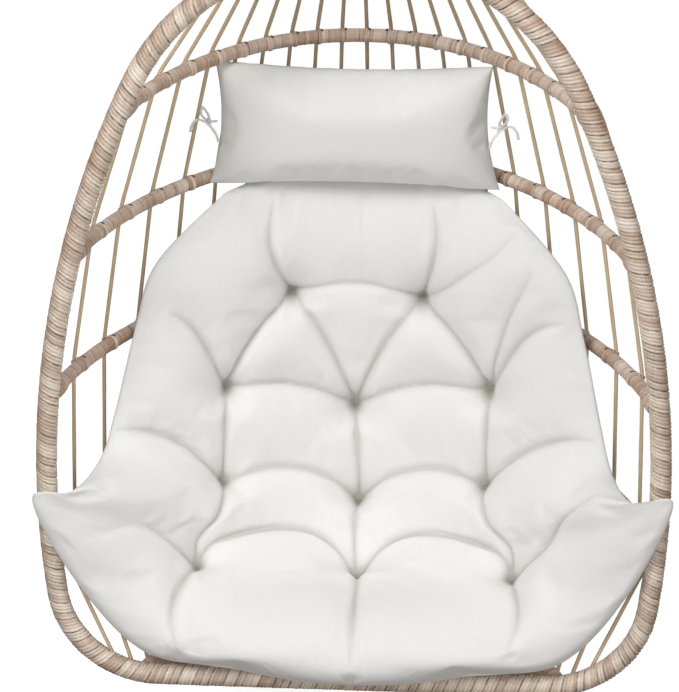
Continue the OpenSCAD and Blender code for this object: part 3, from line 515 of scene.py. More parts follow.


# flat plastic rattan strips: streaked, each strip its own tone, with painted shade in the grooves between
# strips, and darker on the inner side, partly painted shade and partly dirt
def rattanMaterial(name, light, dark, gap, along=30.0, across=90.0, grooveShadeShare=1.0):
    material, tree, shader = newMaterial(name, 0.5)
    uv = add(tree, "ShaderNodeUVMap", uv_map="along")
    streaks = placeGroup(tree, fibreGroup, Across=across, Along=along)
    tree.links.new(uv.outputs[0], streaks.inputs["UV"])
    tone = add(tree, "ShaderNodeAttribute", attribute_name="tone")
    groove = add(tree, "ShaderNodeAttribute", attribute_name="groove")
    mottle = placeGroup(tree, mottleGroup, Scale=7.0)
    # darker on the side facing into the basket: partly painted shade, partly dirt
    innerShadeAndDirt = add(tree, "ShaderNodeAttribute", attribute_name="innerShadeAndDirt")
    place = add(tree, "ShaderNodeTexCoord")
    uneven = noise(tree, place.outputs["Object"], 2.0, 95.0)
    blend = weigh(tree, 0.5, (tone.outputs["Fac"], 0.75), (streaks.outputs[0], 0.7),
                  (mottle.outputs["Value"], 0.3), (innerShadeAndDirt.outputs["Fac"], 0.35))
    base = mixColour(tree, blend, light, dark)
    patchy = over(tree, uneven.outputs["Fac"], 0.22, 2.4)
    flecks = noise(tree, place.outputs["Object"], 3.0, 330.0)
    specks = over(tree, flecks.outputs["Fac"], 0.54, 3.2)
    base = mixColour(tree, math2(tree, "MULTIPLY", specks, 0.55), base, dark)
    # painted shade in the grooves, made patchy, mixed towards the gap colour
    deep = math2(tree, "MULTIPLY", groove.outputs["Fac"], patchy)
    deep = math2(tree, "MULTIPLY", deep, grooveShadeShare, clamp=True)
    tree.links.new(mixColour(tree, deep, base, gap), shader.inputs["Base Color"])
    roughnessFrom(tree, shader, streaks.outputs[0], 0.38, 0.62)
    bumpFrom(tree, shader, streaks.outputs[0], 0.35, 0.0006)
    return material


def cordMaterial():
    material, tree, shader = newMaterial("rattanCord", 0.45)
    uv = add(tree, "ShaderNodeUVMap", uv_map="along")
    streaks = placeGroup(tree, fibreGroup, Across=26.0, Along=9.0)
    tree.links.new(uv.outputs[0], streaks.inputs["UV"])
    mottle = placeGroup(tree, mottleGroup, Scale=9.0)
    blend = weigh(tree, 0.4, (streaks.outputs[0], 1.1), (mottle.outputs["Value"], 0.5))
    tree.links.new(mixColour(tree, blend, colour("#e8d3b2"), colour("#a58b66")), shader.inputs["Base Color"])
    roughnessFrom(tree, shader, streaks.outputs[0], 0.35, 0.6)
    bumpFrom(tree, shader, streaks.outputs[0], 0.5, 0.0008)
    return material


def clothMaterial(name, base, shade, threads):
    material, tree, shader = newMaterial(name, 0.85)
    weave = placeGroup(tree, twillGroup, Threads=threads)
    mottle = placeGroup(tree, mottleGroup, Scale=4.0)
    blend = weigh(tree, 0.2, (weave.outputs["Tone"], 0.5), (mottle.outputs["Value"], 0.4))
    plain = mixColour(tree, blend, base, shade)
    # painted shade along the creases and in the tuft pits, mixed towards an olive grey
    paintedCreaseShade = add(tree, "ShaderNodeAttribute", attribute_name="paintedCreaseShade")
    deep = math2(tree, "MULTIPLY", paintedCreaseShade.outputs["Fac"], 0.55, clamp=True)
    tree.links.new(mixColour(tree, deep, plain, colour("#7d7760")), shader.inputs["Base Color"])
    roughnessFrom(tree, shader, weave.outputs["Tone"], 0.8, 0.92)
    shader.inputs["Sheen Weight"].default_value = 0.25
    shader.inputs["Sheen Roughness"].default_value = 0.5
    bumpFrom(tree, shader, weave.outputs["Height"], 0.25, 0.0003)
    return material


# plated or polished steel with fine scratches and duller patches
def steelMaterial(name, base, roughLow, roughHigh, scratch):
    material, tree, shader = newMaterial(name, roughLow, metallic=1.0)
    place = add(tree, "ShaderNodeTexCoord")
    stretch = add(tree, "ShaderNodeMapping")
    stretch.inputs["Scale"].default_value = (900, 900, 40)
    tree.links.new(place.outputs["Object"], stretch.inputs["Vector"])
    lines = noise(tree, stretch.outputs[0], 3.0)
    mottle = placeGroup(tree, mottleGroup, Scale=90.0)
    worn = tuple(c * 0.72 for c in base[:3]) + (1.0,)
    tree.links.new(mixColour(tree, mottle.outputs["Value"], base, worn), shader.inputs["Base Color"])
    roughnessFrom(tree, shader, mottle.outputs["Value"], roughLow, roughHigh)
    bumpFrom(tree, shader, lines.outputs["Fac"], scratch, 0.0002)
    return material


def paintMaterial():
    material, tree, shader = newMaterial("tubePaint", 0.5)
    mottle = placeGroup(tree, mottleGroup, Scale=200.0)
    tree.links.new(mixColour(tree, mottle.outputs["Value"], colour("#6b5645"), colour("#4b3b2e")),
                   shader.inputs["Base Color"])
    roughnessFrom(tree, shader, mottle.outputs["Value"], 0.4, 0.65)
    bumpFrom(tree, shader, mottle.outputs["Value"], 0.3, 0.0002)
    return material


rimRattan = rattanMaterial("rimRattan", colour("#fbeede"), colour("#a5836a"), colour("#3a281b"), grooveShadeShare=1.3)
hoopRattan = rattanMaterial("hoopRattan", colour("#f9ebdc"), colour("#b4927a"), colour("#402d1f"),
                            along=14.0, across=50.0)
matRattan = rattanMaterial("matRattan", colour("#d9c0a2"), colour("#a5845f"), colour("#574028"))
cordRattan = cordMaterial()
coverCloth = clothMaterial("coverCloth", colour("#f1f0ee"), colour("#e4e2df"), 700.0)
tapeCloth = clothMaterial("tapeCloth", colour("#f3f2ef"), colour("#dcdad5"), 1200.0)
zincSteel = steelMaterial("zincSteel", colour("#c9cbcc"), 0.22, 0.42, 0.15)
springSteel = steelMaterial("springSteel", colour("#8b8d90"), 0.3, 0.5, 0.2)
bearingSteel = steelMaterial("bearingSteel", colour("#d8d9da"), 0.12, 0.25, 0.05)
tubePaint = paintMaterial()
print("materials made")


def dress(piece, material, body, slot, *nodes):
    piece.data.transform(tip)
    piece.data.materials.clear()
    piece.data.materials.append(material)
    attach(piece, body)
    if nodes:
        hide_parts(*nodes)
    return piece


def repaint(material, *names):
    for name in names:
        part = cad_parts[name]
        if not part.material_slots:
            part.data.materials.append(material)
        for entry in part.material_slots:
            entry.material = material


repaint(zincSteel, "top_eye", "swivel_barrel", "clevis", "clevis_pin", "cotter_ring", "upper_draw_yoke",
        "lower_draw_yoke", "lower_plate", "upper_plate", "snap_hook", "hook_gate", "gate_pin", "hang_ring")
repaint(bearingSteel, "lower_race", "bearing_balls", "upper_race")
repaint(tubePaint, "front_rim_tube", "crown_loop", "seat_ring_tube", "cross_tubes",
        *["hoop_tube_%d" % i for i in range(1, 6)])


def selectOnly(piece):
    bpy.ops.object.select_all(action="DESELECT")
    bpy.context.view_layer.objects.active = piece
    piece.select_set(True)


# the coil spring, whose ends sit on the lower and upper plates: a copy of the part's mesh, its doubled points
# merged, shaded smooth and in spring steel
def makeCoil():
    piece = bpy.data.objects.new("coilSpring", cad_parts["coil_spring"].data.copy())
    scene.collection.objects.link(piece)
    selectOnly(piece)
    bpy.ops.object.mode_set(mode="EDIT")
    bpy.ops.mesh.select_all(action="SELECT")
    bpy.ops.mesh.remove_doubles(threshold=0.00001)
    bpy.ops.object.mode_set(mode="OBJECT")
    bpy.ops.object.shade_smooth_by_angle(angle=rad(40))
    piece.data.materials.clear()
    piece.data.materials.append(springSteel)
    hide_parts("coil_spring")
    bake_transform(piece)


makeCoil()

# camera
camera = dict(fromBar=(0.2375, -4.177, 2.9583), looking=(-0.04928, 0.87942, -0.47349), focal=2972.8,
              shiftPixels=(-13.2, -31.1), longSide=692)
cameraData = bpy.data.cameras.new("camera")
cameraData.sensor_width = 36
cameraData.lens = camera["focal"] * 36 / camera["longSide"]
cameraData.shift_x = camera["shiftPixels"][0] / camera["longSide"]
cameraData.shift_y = camera["shiftPixels"][1] / camera["longSide"]
cameraData.clip_start = 0.1
cameraData.clip_end = 60
cameraObject = bpy.data.objects.new("camera", cameraData)
scene.collection.objects.link(cameraObject)
cameraObject.matrix_world = tip @ Matrix.Translation(bar + Vector(camera["fromBar"])) \
    @ Vector(camera["looking"]).to_track_quat("-Z", "Y").to_matrix().to_4x4()
scene.camera = cameraObject


# wound rim, hoops, ring and crown
rimWrap = dict(pitch=0.0066, starts=6, hand=1, sides=18, groove=0.0011, crown=0.0005, group=(2, 4), even=0.35,
               jitter=0.0007, outerSide=1)
hoopWrap = dict(pitch=0.0060, starts=1, hand=1, sides=14, groove=0.0006, crown=0.0002, group=(3, 5),
                even=0.05, jitter=0.0003, outerSide=1)
crownWrap = dict(pitch=0.0045, starts=1, hand=1, sides=10, groove=0.0004, crown=0.0001, group=(3, 5),
                 even=0.2, jitter=0.0002, outerSide=1)
rimNormal, levelNormal = (0, leanCos, -leanSin), (0, 0, 1)
rimLess, wrapLess = 0.0005, 0.0002  # what the strips' crowns take from a winding's radius
endSunk = 0.001  # how far a bow's winding runs into the rim's

dress(windTube("rimWinding", rimOutline(), rim["wrapRadius"] - rimLess, rimNormal, True, rimWrap),
      rimRattan, "basket", "rattan_wrap", "front_rim_wrap")


# the winding thickens over the welded ends
def endSwell(s, total):
    reach, near = joint["length"], np.minimum(s, total - s)
    turn = np.clip((near - reach * joint["middle"]) / (reach * joint["fade"]), -0.6, 1)
    return joint["grow"] * np.clip(np.cos(turn * np.pi / 2), 0, 1) ** 0.6


def windBow(name, bow, *nodes):
    winding = windTube(name, bow.path(rim["wrapRadius"] - endSunk), hoop["wrapRadius"] - wrapLess,
                       levelNormal, False, hoopWrap, endSwell)
    dress(winding, hoopRattan, "basket", "rattan_wrap", *nodes)


for i, bow in enumerate(bows):
    windBow("hoopWinding%d" % (i + 1), bow, "hoop_wrap_%d" % (i + 1))
windBow("ringWinding", ringBow, "seat_ring_wrap", "joint_wraps")

crownXs = crown["halfWidth"] * np.sin(np.radians(np.linspace(crown["sweep"], -crown["sweep"], 40)))
dress(windTube("crownWinding", [list(crownPoint(x)) for x in crownXs], crown["wrapRadius"] - wrapLess,
               levelNormal, False, crownWrap), rimRattan, "basket", "rattan_wrap", "crown_wrap")
print("windings made")


# cords
def spread(k, last):
    t = k / last
    return math.sin(rad(cord["fanLinear"] * t + cord["fanCubic"] * t ** 3))


def cornerPoint(a):
    s = rim["cornerRadius"] * (1 - math.cos(rad(a)))
    return Vector((rim["barHalf"] + rim["cornerRadius"] * math.sin(rad(a)), bar.y + s * leanSin,
                   bar.z + s * leanCos))


# bend points of cord k, from the crown over every hoop to where it is tied
def cordRoute(k):
    share = spread(k, cord["lastOnRim"])
    stations = [crownPoint(share * crown["share"] * crown["halfWidth"])]
    stations += [b.point(share * b.halfWidth) for b in reversed(bows)]
    firstOnCorner = cord["pairs"] + 1 - len(cord["cornerEnds"])
    if k >= firstOnCorner:
        stations.append(cornerPoint(cord["cornerEnds"][k - firstOnCorner]))
        endRadius = rim["wrapRadius"]
    else:
        ringShare = spread(k, cord["lastOnRing"])
        stations.append(ringBow.point(ringShare * ringBow.halfWidth))
        endRadius = hoop["wrapRadius"]
    bends = []
    for i, b in zip(range(1, 6), reversed(bows)):
        x = share * b.halfWidth
        onJoint = b.depthAt(x) < joint["start"] + joint["length"] + cord["radius"]
        extra = joint["grow"] + cord["gap"] if onJoint else 0
        inward = (stations[i] - stations[i - 1]).normalized()
        outward = (stations[i + 1] - stations[i]).normalized()
        along = (inward + outward).normalized()
        away = b.outward(x)
        away = (away - along * away.dot(along)).normalized()
        lift = (hoop["wrapRadius"] + extra + cord["radius"] + cord["gap"]) / math.sqrt(
            (1 + inward.dot(outward)) / 2)
        bends.append(stations[i] + away * lift)
    first = stations[0] + (bends[0] - stations[0]).normalized() * (crown["wrapRadius"] - cord["sunk"])
    last = stations[-1] + (bends[-1] - stations[-1]).normalized() * (endRadius - cord["sunk"])
    return [first] + bends + [last]


# straight runs with eased bends. The cord presses a little nearer to the hoop it passes over
def roundedRoute(points, spacing=0.03, corner=0.02):
    route = [points[0]]
    for i in range(len(points) - 1):
        a, b = points[i], points[i + 1]
        length = (b - a).length
        start = 0 if i == 0 else corner
        stop = length if i == len(points) - 2 else length - corner
        count = max(2, int((stop - start) / spacing))
        for n in range(1 if i == 0 else 0, count + 1):
            route.append(a + (b - a) * ((start + (stop - start) * n / count) / length))
        if i < len(points) - 2:
            c = points[i + 2]
            p, q = b - (b - a).normalized() * corner, b + (c - b).normalized() * corner
            for t in (0.25, 0.5, 0.75):
                route.append(p * (1 - t) ** 2 + b * 2 * t * (1 - t) + q * t * t)
    return np.array([list(p) for p in route])


def makeCord(k, mirrored):
    points = cordRoute(k)
    if mirrored:
        points = [Vector((-p.x, p.y, p.z)) for p in points]
    route = roundedRoute(points)
    count = len(route)
    radii = cord["radius"] * cord["fullness"] * (1 + cord["uneven"] * np.sin(np.arange(count) * 1.7 + k))
    label = "cord%s%02d" % ("Left" if mirrored else "Right", k) if k else "cordMiddle"
    return sweep(label, route, radii, cord["round"])


for k in range(cord["pairs"] + 1):
    node = "cord_pair_%d" % k if k else "cord_middle"
    for mirrored in ([False, True] if k else [False]):
        dress(makeCord(k, mirrored), cordRattan, "basket", "rattan_cord", node)


# a strip bound once round the hoop and the cord lying on it
def lashing(centre, away, along, hoopRadius, lashed):
    width, thick = lashed["width"], lashed["thick"]
    tie = cord["radius"] + cord["gap"] * 0.5 + hoopRadius
    outline = []
    for a in np.linspace(*lashed["sweep"], 15):
        outline.append((hoopRadius * math.cos(rad(a)), hoopRadius * math.sin(rad(a))))
    if lashed["aside"] > 0:
        outline += [((hoopRadius - 0.001) * x / hoopRadius, (hoopRadius - 0.001) * y / hoopRadius)
                    for x, y in outline[::-1]]
    else:
        for a in np.linspace(-75, 75, 8):
            outline.append((tie + cord["radius"] * math.cos(rad(a)) * 1.2,
                            cord["radius"] * 1.35 * math.sin(rad(a))))
    up = along.cross(away).normalized()
    verts, faces = [], []
    n = len(outline)
    for x, y in outline:
        size = math.hypot(x, y)
        for grow, shift in ((0, -0.5), (thick, -0.42), (thick, 0.42), (0, 0.5)):
            scale = (size + grow) / size
            verts.append(centre + away * x * scale + up * y * scale + along * width * shift)
    for i in range(n):
        j = (i + 1) % n
        for a in range(4):
            b = (a + 1) % 4
            faces.append((i * 4 + a, j * 4 + a, j * 4 + b, i * 4 + b))
    return verts, faces


def makeLashings(name, material, lashed):
    verts, faces = [], []
    for k in range(-cord["pairs"], cord["pairs"] + 1):
        share = math.copysign(spread(abs(k), cord["lastOnRim"]), k)
        for b in bows:
            x = share * b.halfWidth
            if b.depthAt(x) < joint["start"] + joint["length"]:
                continue
            aside = lashed["aside"] * (-1 if x > 0 else 1)
            away = b.outward(x)
            along = Vector((away.y, -away.x, 0))
            centre = b.point(x + aside * away.y)
            v, f = lashing(centre, away, along, hoop["wrapRadius"] + lashed["proud"], lashed)
            base = len(verts)
            verts += v
            faces += [tuple(base + i for i in face) for face in f]
    each = len(v)
    uvs = [(0.001 * i, 0.5) for i in range(4 * len(faces))]
    tones = np.repeat(rng.random(len(verts) // each), each)
    fields = dict(tone=tones, groove=np.full(len(verts), lashed["groove"]))
    dress(makeObject(name, verts, faces, uvs, fields), material, "basket", "rattan_wrap")


# the light strips hold the cords, and the dark ones are painted shadow in the gap beside each of them
lightLashing = dict(width=0.0050, thick=0.0012, aside=0, proud=0.0002, sweep=(60, 300), groove=0.15)
shadowLashing = dict(width=0.0036, thick=0.0007, aside=0.0052, proud=0.0001, sweep=(-30, 110), groove=1.0)
gapShadowRattan = rattanMaterial("gapShadowRattan", colour("#6b5039"), colour("#4a3627"), colour("#33241a"))
makeLashings("cordLashings", hoopRattan, lightLashing)
makeLashings("cordGapShadows", gapShadowRattan, shadowLashing)
print("cords made")


# woven seat mat
mat = dict(strip=0.0125, gap=0.0015, thick=0.0011, wave=0.0013, inset=0.004, up=0.0101, halfWidth=0.349,
           front=0.0161, back=0.2791, sideGap=0.011, backGap=0.010, shortest=0.02, press=1.4)
stripEdge = [(-0.5, 0), (-0.42, 0.5), (0.42, 0.5), (0.5, 0), (0.42, -0.5), (-0.42, -0.5)]  # shares of a strip


# half width of the mat at a depth behind the bar
def matHalfWidth(y):
    low, high = 0.0, ringBow.halfWidth
    for _ in range(24):
        middle = (low + high) / 2
        if ringBow.depthAt(middle) > y:
            low = middle
        else:
            high = middle
    return low


# a flat strip that goes over and under the ones it crosses
def wovenStrip(start, end, level, phase, across, verts, faces):
    length = (end - start).length
    step = mat["strip"] + mat["gap"]
    count = max(3, int(length / step * 4))
    base = len(verts)
    for i in range(count + 1):
        p = start + (end - start) * (i / count)
        travel = p.x if abs((end - start).x) > abs((end - start).y) else p.y
        lift = mat["wave"] * math.sin(math.pi * (travel / step + phase))
        lift = max(-mat["wave"], min(mat["wave"], lift * mat["press"]))
        for side, height in stripEdge:
            rise = Vector((0, 0, level + lift + height * mat["thick"]))
            verts.append(p + across * mat["strip"] * side + rise)
    faces += tubeFaces(base, count + 1, 6)
    return (count + 1) * 6


def makeMat():
    verts, faces, tones = [], [], []
    step = mat["strip"] + mat["gap"]
    level = bar.z + mat["up"]
    frontY, backY = mat["front"], mat["back"]
    rows = int((backY - frontY) / step)
    for i in range(rows):
        y = frontY + (i + 0.5) * step
        half = matHalfWidth(y + mat["inset"]) - mat["sideGap"]
        if half < mat["shortest"]:
            continue
        n = wovenStrip(Vector((-half, bar.y + y, 0)), Vector((half, bar.y + y, 0)), level, i % 2,
                       Vector((0, 1, 0)), verts, faces)
        tones += [rng.random()] * n
    columns = int(2 * mat["halfWidth"] / step)
    for i in range(columns):
        x = (i + 0.5) * step - mat["halfWidth"]
        back = ringBow.depthAt(abs(x) + mat["inset"]) - mat["backGap"]
        if back - frontY < mat["shortest"]:
            continue
        n = wovenStrip(Vector((x, bar.y + frontY, 0)), Vector((x, bar.y + back, 0)), level, (i + 1) % 2,
                       Vector((1, 0, 0)), verts, faces)
        tones += [rng.random()] * n
    uvs = []
    for face in faces:
        for v in face:
            uvs.append((verts[v].x * 3 + verts[v].y * 3, verts[v].y - verts[v].x))
    fields = dict(tone=tones, groove=np.zeros(len(verts)))
    dress(makeObject("wovenMat", verts, faces, uvs, fields), matRattan, "basket", "rattan_mat", "seat_mat")


makeMat()
print("mat made")


# cloth
# closed skin over two grids of points that share their outline
def gridSkin(name, front, back, rows, columns):
    verts = [tuple(p) for p in front]
    index = {}
    for i in range(rows):
        for j in range(columns):
            if i in (0, rows - 1) or j in (0, columns - 1):
                index[(i, j)] = i * columns + j
            else:
                index[(i, j)] = len(verts)
                verts.append(tuple(back[i * columns + j]))
    faces = []
    for i in range(rows - 1):
        for j in range(columns - 1):
            a = i * columns + j
            faces.append((a, a + 1, a + columns + 1, a + columns))
            faces.append((index[(i, j)], index[(i + 1, j)], index[(i + 1, j + 1)], index[(i, j + 1)]))
    return makeObject(name, verts, faces)


# blows a cover up like a filled cushion and keeps the result, moved no further than the cap
def inflate(piece, pinned, settings):
    group = piece.vertex_groups.new(name="pinned")
    for index, weight in enumerate(pinned):
        if weight > 0.01:
            group.add([index], float(min(weight, 1)), "REPLACE")
    cloth = piece.modifiers.new("cloth", "CLOTH")
    cloth.settings.quality = settings["quality"]
    cloth.settings.mass = 0.3
    cloth.settings.use_pressure = True
    cloth.settings.uniform_pressure_force = settings["pressure"]
    cloth.settings.shrink_min = settings["shrink"]
    cloth.settings.tension_stiffness = settings["tension"]
    cloth.settings.compression_stiffness = settings["tension"]
    cloth.settings.shear_stiffness = settings["tension"] * 0.4
    cloth.settings.bending_stiffness = settings["bending"]
    cloth.settings.pin_stiffness = settings["pin"]
    cloth.settings.effector_weights.gravity = 0
    cloth.settings.vertex_group_mass = "pinned"
    cloth.point_cache.frame_start = 1
    cloth.point_cache.frame_end = settings["frames"]
    for step in range(1, settings["frames"] + 1):
        scene.frame_set(step)
    blown = piece.evaluated_get(bpy.context.evaluated_depsgraph_get()).data
    count = len(piece.data.vertices)
    before, after = np.empty(count * 3), np.empty(count * 3)
    piece.data.vertices.foreach_get("co", before)
    blown.vertices.foreach_get("co", after)
    before, move = before.reshape(-1, 3), (after - before).reshape(-1, 3)
    size = np.linalg.norm(move, axis=1, keepdims=True)
    print(piece.name, "blown up by at most", round(float(size.max()) * 1000, 1), "mm")
    move *= settings["cap"] * np.tanh(size / settings["cap"]) / np.maximum(size, 1e-9)
    piece.modifiers.remove(cloth)
    piece.vertex_groups.clear()
    piece.data.vertices.foreach_set("co", (before + move).ravel())
    piece.data.update()
    scene.frame_set(1)


def subdivide(piece):
    selectOnly(piece)
    finer = piece.modifiers.new("finer", "SUBSURF")
    finer.levels = finer.render_levels = 1
    bpy.ops.object.modifier_apply(modifier="finer")


# head pillow
pillow = dict(width=0.484, height=0.238, thick=0.112, waist=0.055, side=0.075, taper=0.034, centreX=-0.016,
              back=0.392, up=0.861, lean=4, slack=0.88, columns=80, rows=44, seamHold=0.7,
              cloth=dict(quality=6, pressure=2.5, shrink=-0.02, tension=15, bending=0.3, pin=0.6, frames=14,
                         cap=0.010))
pillowPlace = Matrix.Translation(bar + Vector((pillow["centreX"], pillow["back"], pillow["up"]))) \
    @ Matrix.Rotation(rad(pillow["lean"]), 4, "X")


def makePillow():
    rows, columns = pillow["rows"], pillow["columns"]
    front, back = [], []
    for i in range(rows):
        v = 2 * i / (rows - 1) - 1
        for j in range(columns):
            u = 2 * j / (columns - 1) - 1
            w = pillow["width"] / 2 * (1 - pillow["waist"] * (1 - v * v)) * (1 - pillow["taper"] * v)
            h = pillow["height"] / 2 * (1 - pillow["side"] * (1 - u * u))
            puff = max(0, 1 - abs(u) ** 4) ** 0.5 * max(0, 1 - abs(v) ** 3) ** 0.55
            depth = pillow["thick"] / 2 * puff * pillow["slack"]
            front.append(pillowPlace @ Vector((u * w, -depth, v * h)))
            back.append(pillowPlace @ Vector((u * w, depth, v * h)))
    piece = gridSkin("headPillow", front, back, rows, columns)
    row, column = np.divmod(np.arange(rows * columns), columns)
    seam = (row % (rows - 1) == 0) | (column % (columns - 1) == 0)
    pinned = np.zeros(len(piece.data.vertices))
    pinned[:rows * columns] = np.where(seam, pillow["seamHold"], 0)
    inflate(piece, pinned, pillow["cloth"])
    subdivide(piece)
    dress(piece, coverCloth, "basket", "cushion_fabric", "head_pillow")


makePillow()
print("pillow made")

# seat cushion
seat = dict(columns=150, rows=130, seamHold=0.9, faceLength=1100,
            cloth=dict(quality=5, pressure=1.6, shrink=-0.01, tension=12, bending=0.5, pin=4.0, frames=10,
                       cap=0.006))
# mm from the middle of the bar, front edge first. Back and up along the middle, and across, back and up
# along the edge
underSpine = [(-50, 14), (70, 26), (180, 27), (262, 44), (330, 100), (384, 186), (452, 330), (486, 500),
              (487, 640), (474, 752)]
faceSpine = [(-84, 58), (36, 110), (146, 106), (214, 122), (262, 162), (308, 232), (358, 352), (384, 510),
             (396, 640), (444, 748)]
underEdge = [(205, -36, 36), (352, -22, 48), (462, -20, 176), (528, -20, 330), (470, 6, 350),
             (438, 132, 350), (418, 188, 410), (386, 246, 540), (350, 288, 645), (238, 390, 732)]
faceEdge = [(196, -60, 76), (336, -52, 92), (440, -48, 204), (506, -46, 348), (440, -6, 372),
            (404, 116, 376), (382, 166, 424), (350, 222, 550), (318, 260, 652), (222, 362, 744)]


# smooth curve through a row of points, t from 0 to 1
def smoothAt(values, t):
    values = np.asarray(values, dtype=float)
    n = len(values) - 1
    x = np.clip(t, 0, 1) * n
    i = np.minimum(np.floor(x).astype(int), n - 1)
    f = (x - i)[..., None]
    a, b, c, d = values[np.maximum(i - 1, 0)], values[i], values[i + 1], values[np.minimum(i + 2, n)]
    return b + 0.5 * f * (c - a + f * (2 * a - 5 * b + 4 * c - d + f * (3 * (b - c) + d - a)))


# the two wing tips stand up by different amounts, in mm
wing = dict(along=0.34, reach=0.10, leftUp=20, rightUp=46, out=8)


def crossCurve(spine, edge, curl, u, v):
    c, e, a = smoothAt(spine, v), smoothAt(edge, v), np.abs(u)
    y = c[..., 0] + (e[..., 1] - c[..., 0]) * a ** curl[0]
    z = c[..., 1] + (e[..., 2] - c[..., 1]) * a ** curl[1]
    tipShare = np.exp(-((v - wing["along"]) / wing["reach"]) ** 2) * a ** 5
    z = z + tipShare * np.where(u > 0, wing["rightUp"], wing["leftUp"])
    x = u * (e[..., 0] + tipShare * wing["out"])
    return np.stack([x, y, z], axis=-1) / 1000 + np.array(bar)


# tufts across and along, then the creases that run between them and out to the edge
tufts = [(-0.35, 0.797), (0.285, 0.79), (-0.60, 0.679), (-0.035, 0.648), (0.57, 0.683), (-0.555, 0.52),
         (-0.01, 0.50), (0.515, 0.53), (-0.55, 0.28), (0, 0.285), (0.55, 0.27)]
# first tuft, second tuft, how far the crease bows up and across the cushion, its depth in mm
seams = [(0, 1, 0.030, 0, 12), (0, 3, 0.012, 0.03, 18), (1, 3, 0.012, -0.03, 18), (0, 2, 0.010, -0.05, 24),
         (1, 4, 0.010, 0.05, 24), (2, 3, 0.024, 0, 22), (3, 4, 0.024, 0, 22), (2, 5, 0, -0.01, 17),
         (3, 6, 0, 0.01, 17), (4, 7, 0, 0.01, 17), (5, 6, 0.050, 0, 20), (6, 7, 0.048, 0, 20),
         (5, 8, 0, 0.02, 17), (6, 9, 0, -0.01, 18), (7, 10, 0, -0.02, 17), (8, 9, 0.13, 0, 18),
         (9, 10, 0.13, 0, 18)]
# tuft, end across, end along, bow, depth in mm where it starts and where it ends
rays = [(0, -0.60, 0.96, 0, 22, 8), (1, 0.46, 0.96, 0, 22, 8), (1, 0.97, 0.945, 0.01, 12, 4),
        (2, -0.93, 0.80, 0.016, 28, 6), (4, 0.97, 0.80, 0.02, 26, 8), (4, 0.90, 0.89, 0.01, 18, 5),
        (5, -1.0, 0.625, 0.025, 28, 14), (7, 1.0, 0.63, 0.025, 26, 12), (8, -0.74, 0.36, 0.02, 18, 4),
        (10, 0.93, 0.48, 0.03, 22, 8), (8, -0.90, 0.10, 0, 26, 8), (10, 0.80, 0.11, 0, 26, 8),
        (9, 0.013, 0.03, 0, 26, 8)]
# widths and depths in metres; a larger roll is a tighter turn of the edge
crease = dict(above=0.052, below=0.012, beside=0.024, deepen=1.5, crossing=0.12, hold=0.007, steep=0.6)
tuft = dict(depth=0.068, above=0.048, below=0.018, hold=0.008, shade=1.7, shadeWidth=0.010)
cover = dict(swell=1.22, thinnest=0.003, sideRoll=7, endRoll=9, frontRoll=8, wingRoll=6)
tuck = dict(inward=22, down=6, wingTop=0.46, wingFade=0.12, front=0.14)  # inward and down in mm
nose = dict(out=0.048, along=0.06, reach=0.07, narrow=0.6, way=(0, -1, 0.25))
fold = dict(depth=0.0050, width=0.0055, full=0.012, gather=0.0035, reach=0.02, shade=0.6, shadeWidth=0.0030)


def facePoint(u, v):
    return crossCurve(faceSpine, faceEdge, (1.8, 2.1), np.asarray(u, float), np.asarray(v, float))


# every crease as points across, points along and depth in metres
def creaseLines():
    lines = []
    t = np.linspace(0, 1, 40)
    arch = 1 - np.abs(2 * t - 1) ** 2.4
    for a, b, bow, aside, depth in seams:
        u = tufts[a][0] + (tufts[b][0] - tufts[a][0]) * t + aside * arch
        v = tufts[a][1] + (tufts[b][1] - tufts[a][1]) * t + bow * arch
        lines.append((u, v, depth * (0.85 + 0.35 * np.abs(2 * t - 1) ** 3) / 1000))
    for a, u1, v1, bow, deep, shallow in rays:
        u = tufts[a][0] + (u1 - tufts[a][0]) * t
        v = tufts[a][1] + (v1 - tufts[a][1]) * t + bow * np.sin(np.pi * t)
        lines.append((u, v, (deep + (shallow - deep) * t ** 0.8) * (1 - t ** 6) / 1000))
    return lines


# how far the cover is drawn in at each point of the face, and how firmly it is held there.
# A puff hangs over the crease above it, so a crease is steep below and long above.
def valleys(u, v):
    flat = facePoint(u, v)
    drawn, held = np.zeros(len(flat)), np.zeros(len(flat))
    for tuftU, tuftV in tufts:
        away = np.linalg.norm(flat - facePoint([tuftU], [tuftV]), axis=1)
        up = 0.5 + 0.5 * np.clip((v - tuftV) * seat["faceLength"] / (1 + away * 1000), -1, 1)
        width = tuft["below"] + (tuft["above"] - tuft["below"]) * up
        drawn = np.maximum(drawn, tuft["depth"] * np.exp(-away / width))
        held = np.maximum(held, np.exp(-(away / tuft["hold"]) ** 2))
    for lineU, lineV, depth in creaseLines():
        path = facePoint(lineU, lineV)
        apart = np.linalg.norm(flat[:, None, :] - path[None], axis=2)
        nearest = apart.argmin(axis=1)
        away = apart.min(axis=1)
        slant = abs(path[-1][0] - path[0][0]) / np.linalg.norm(path[-1] - path[0])
        rise = (v - lineV[nearest]) * seat["faceLength"] / (1 + away * 1000)
        side = np.tanh(rise * crease["steep"]) * slant  # above the crease over 0, below it under 0
        width = np.where(side > 0, crease["beside"] + (crease["above"] - crease["beside"]) * side,
                         crease["beside"] + (crease["beside"] - crease["below"]) * side)
        line = crease["deepen"] * depth[nearest] * np.exp(-(away / width))
        drawn = np.maximum(drawn, line) + crease["crossing"] * np.minimum(drawn, line)
        held = np.maximum(held, seat["seamHold"] * np.exp(-(away / crease["hold"]) ** 2))
    return drawn, held
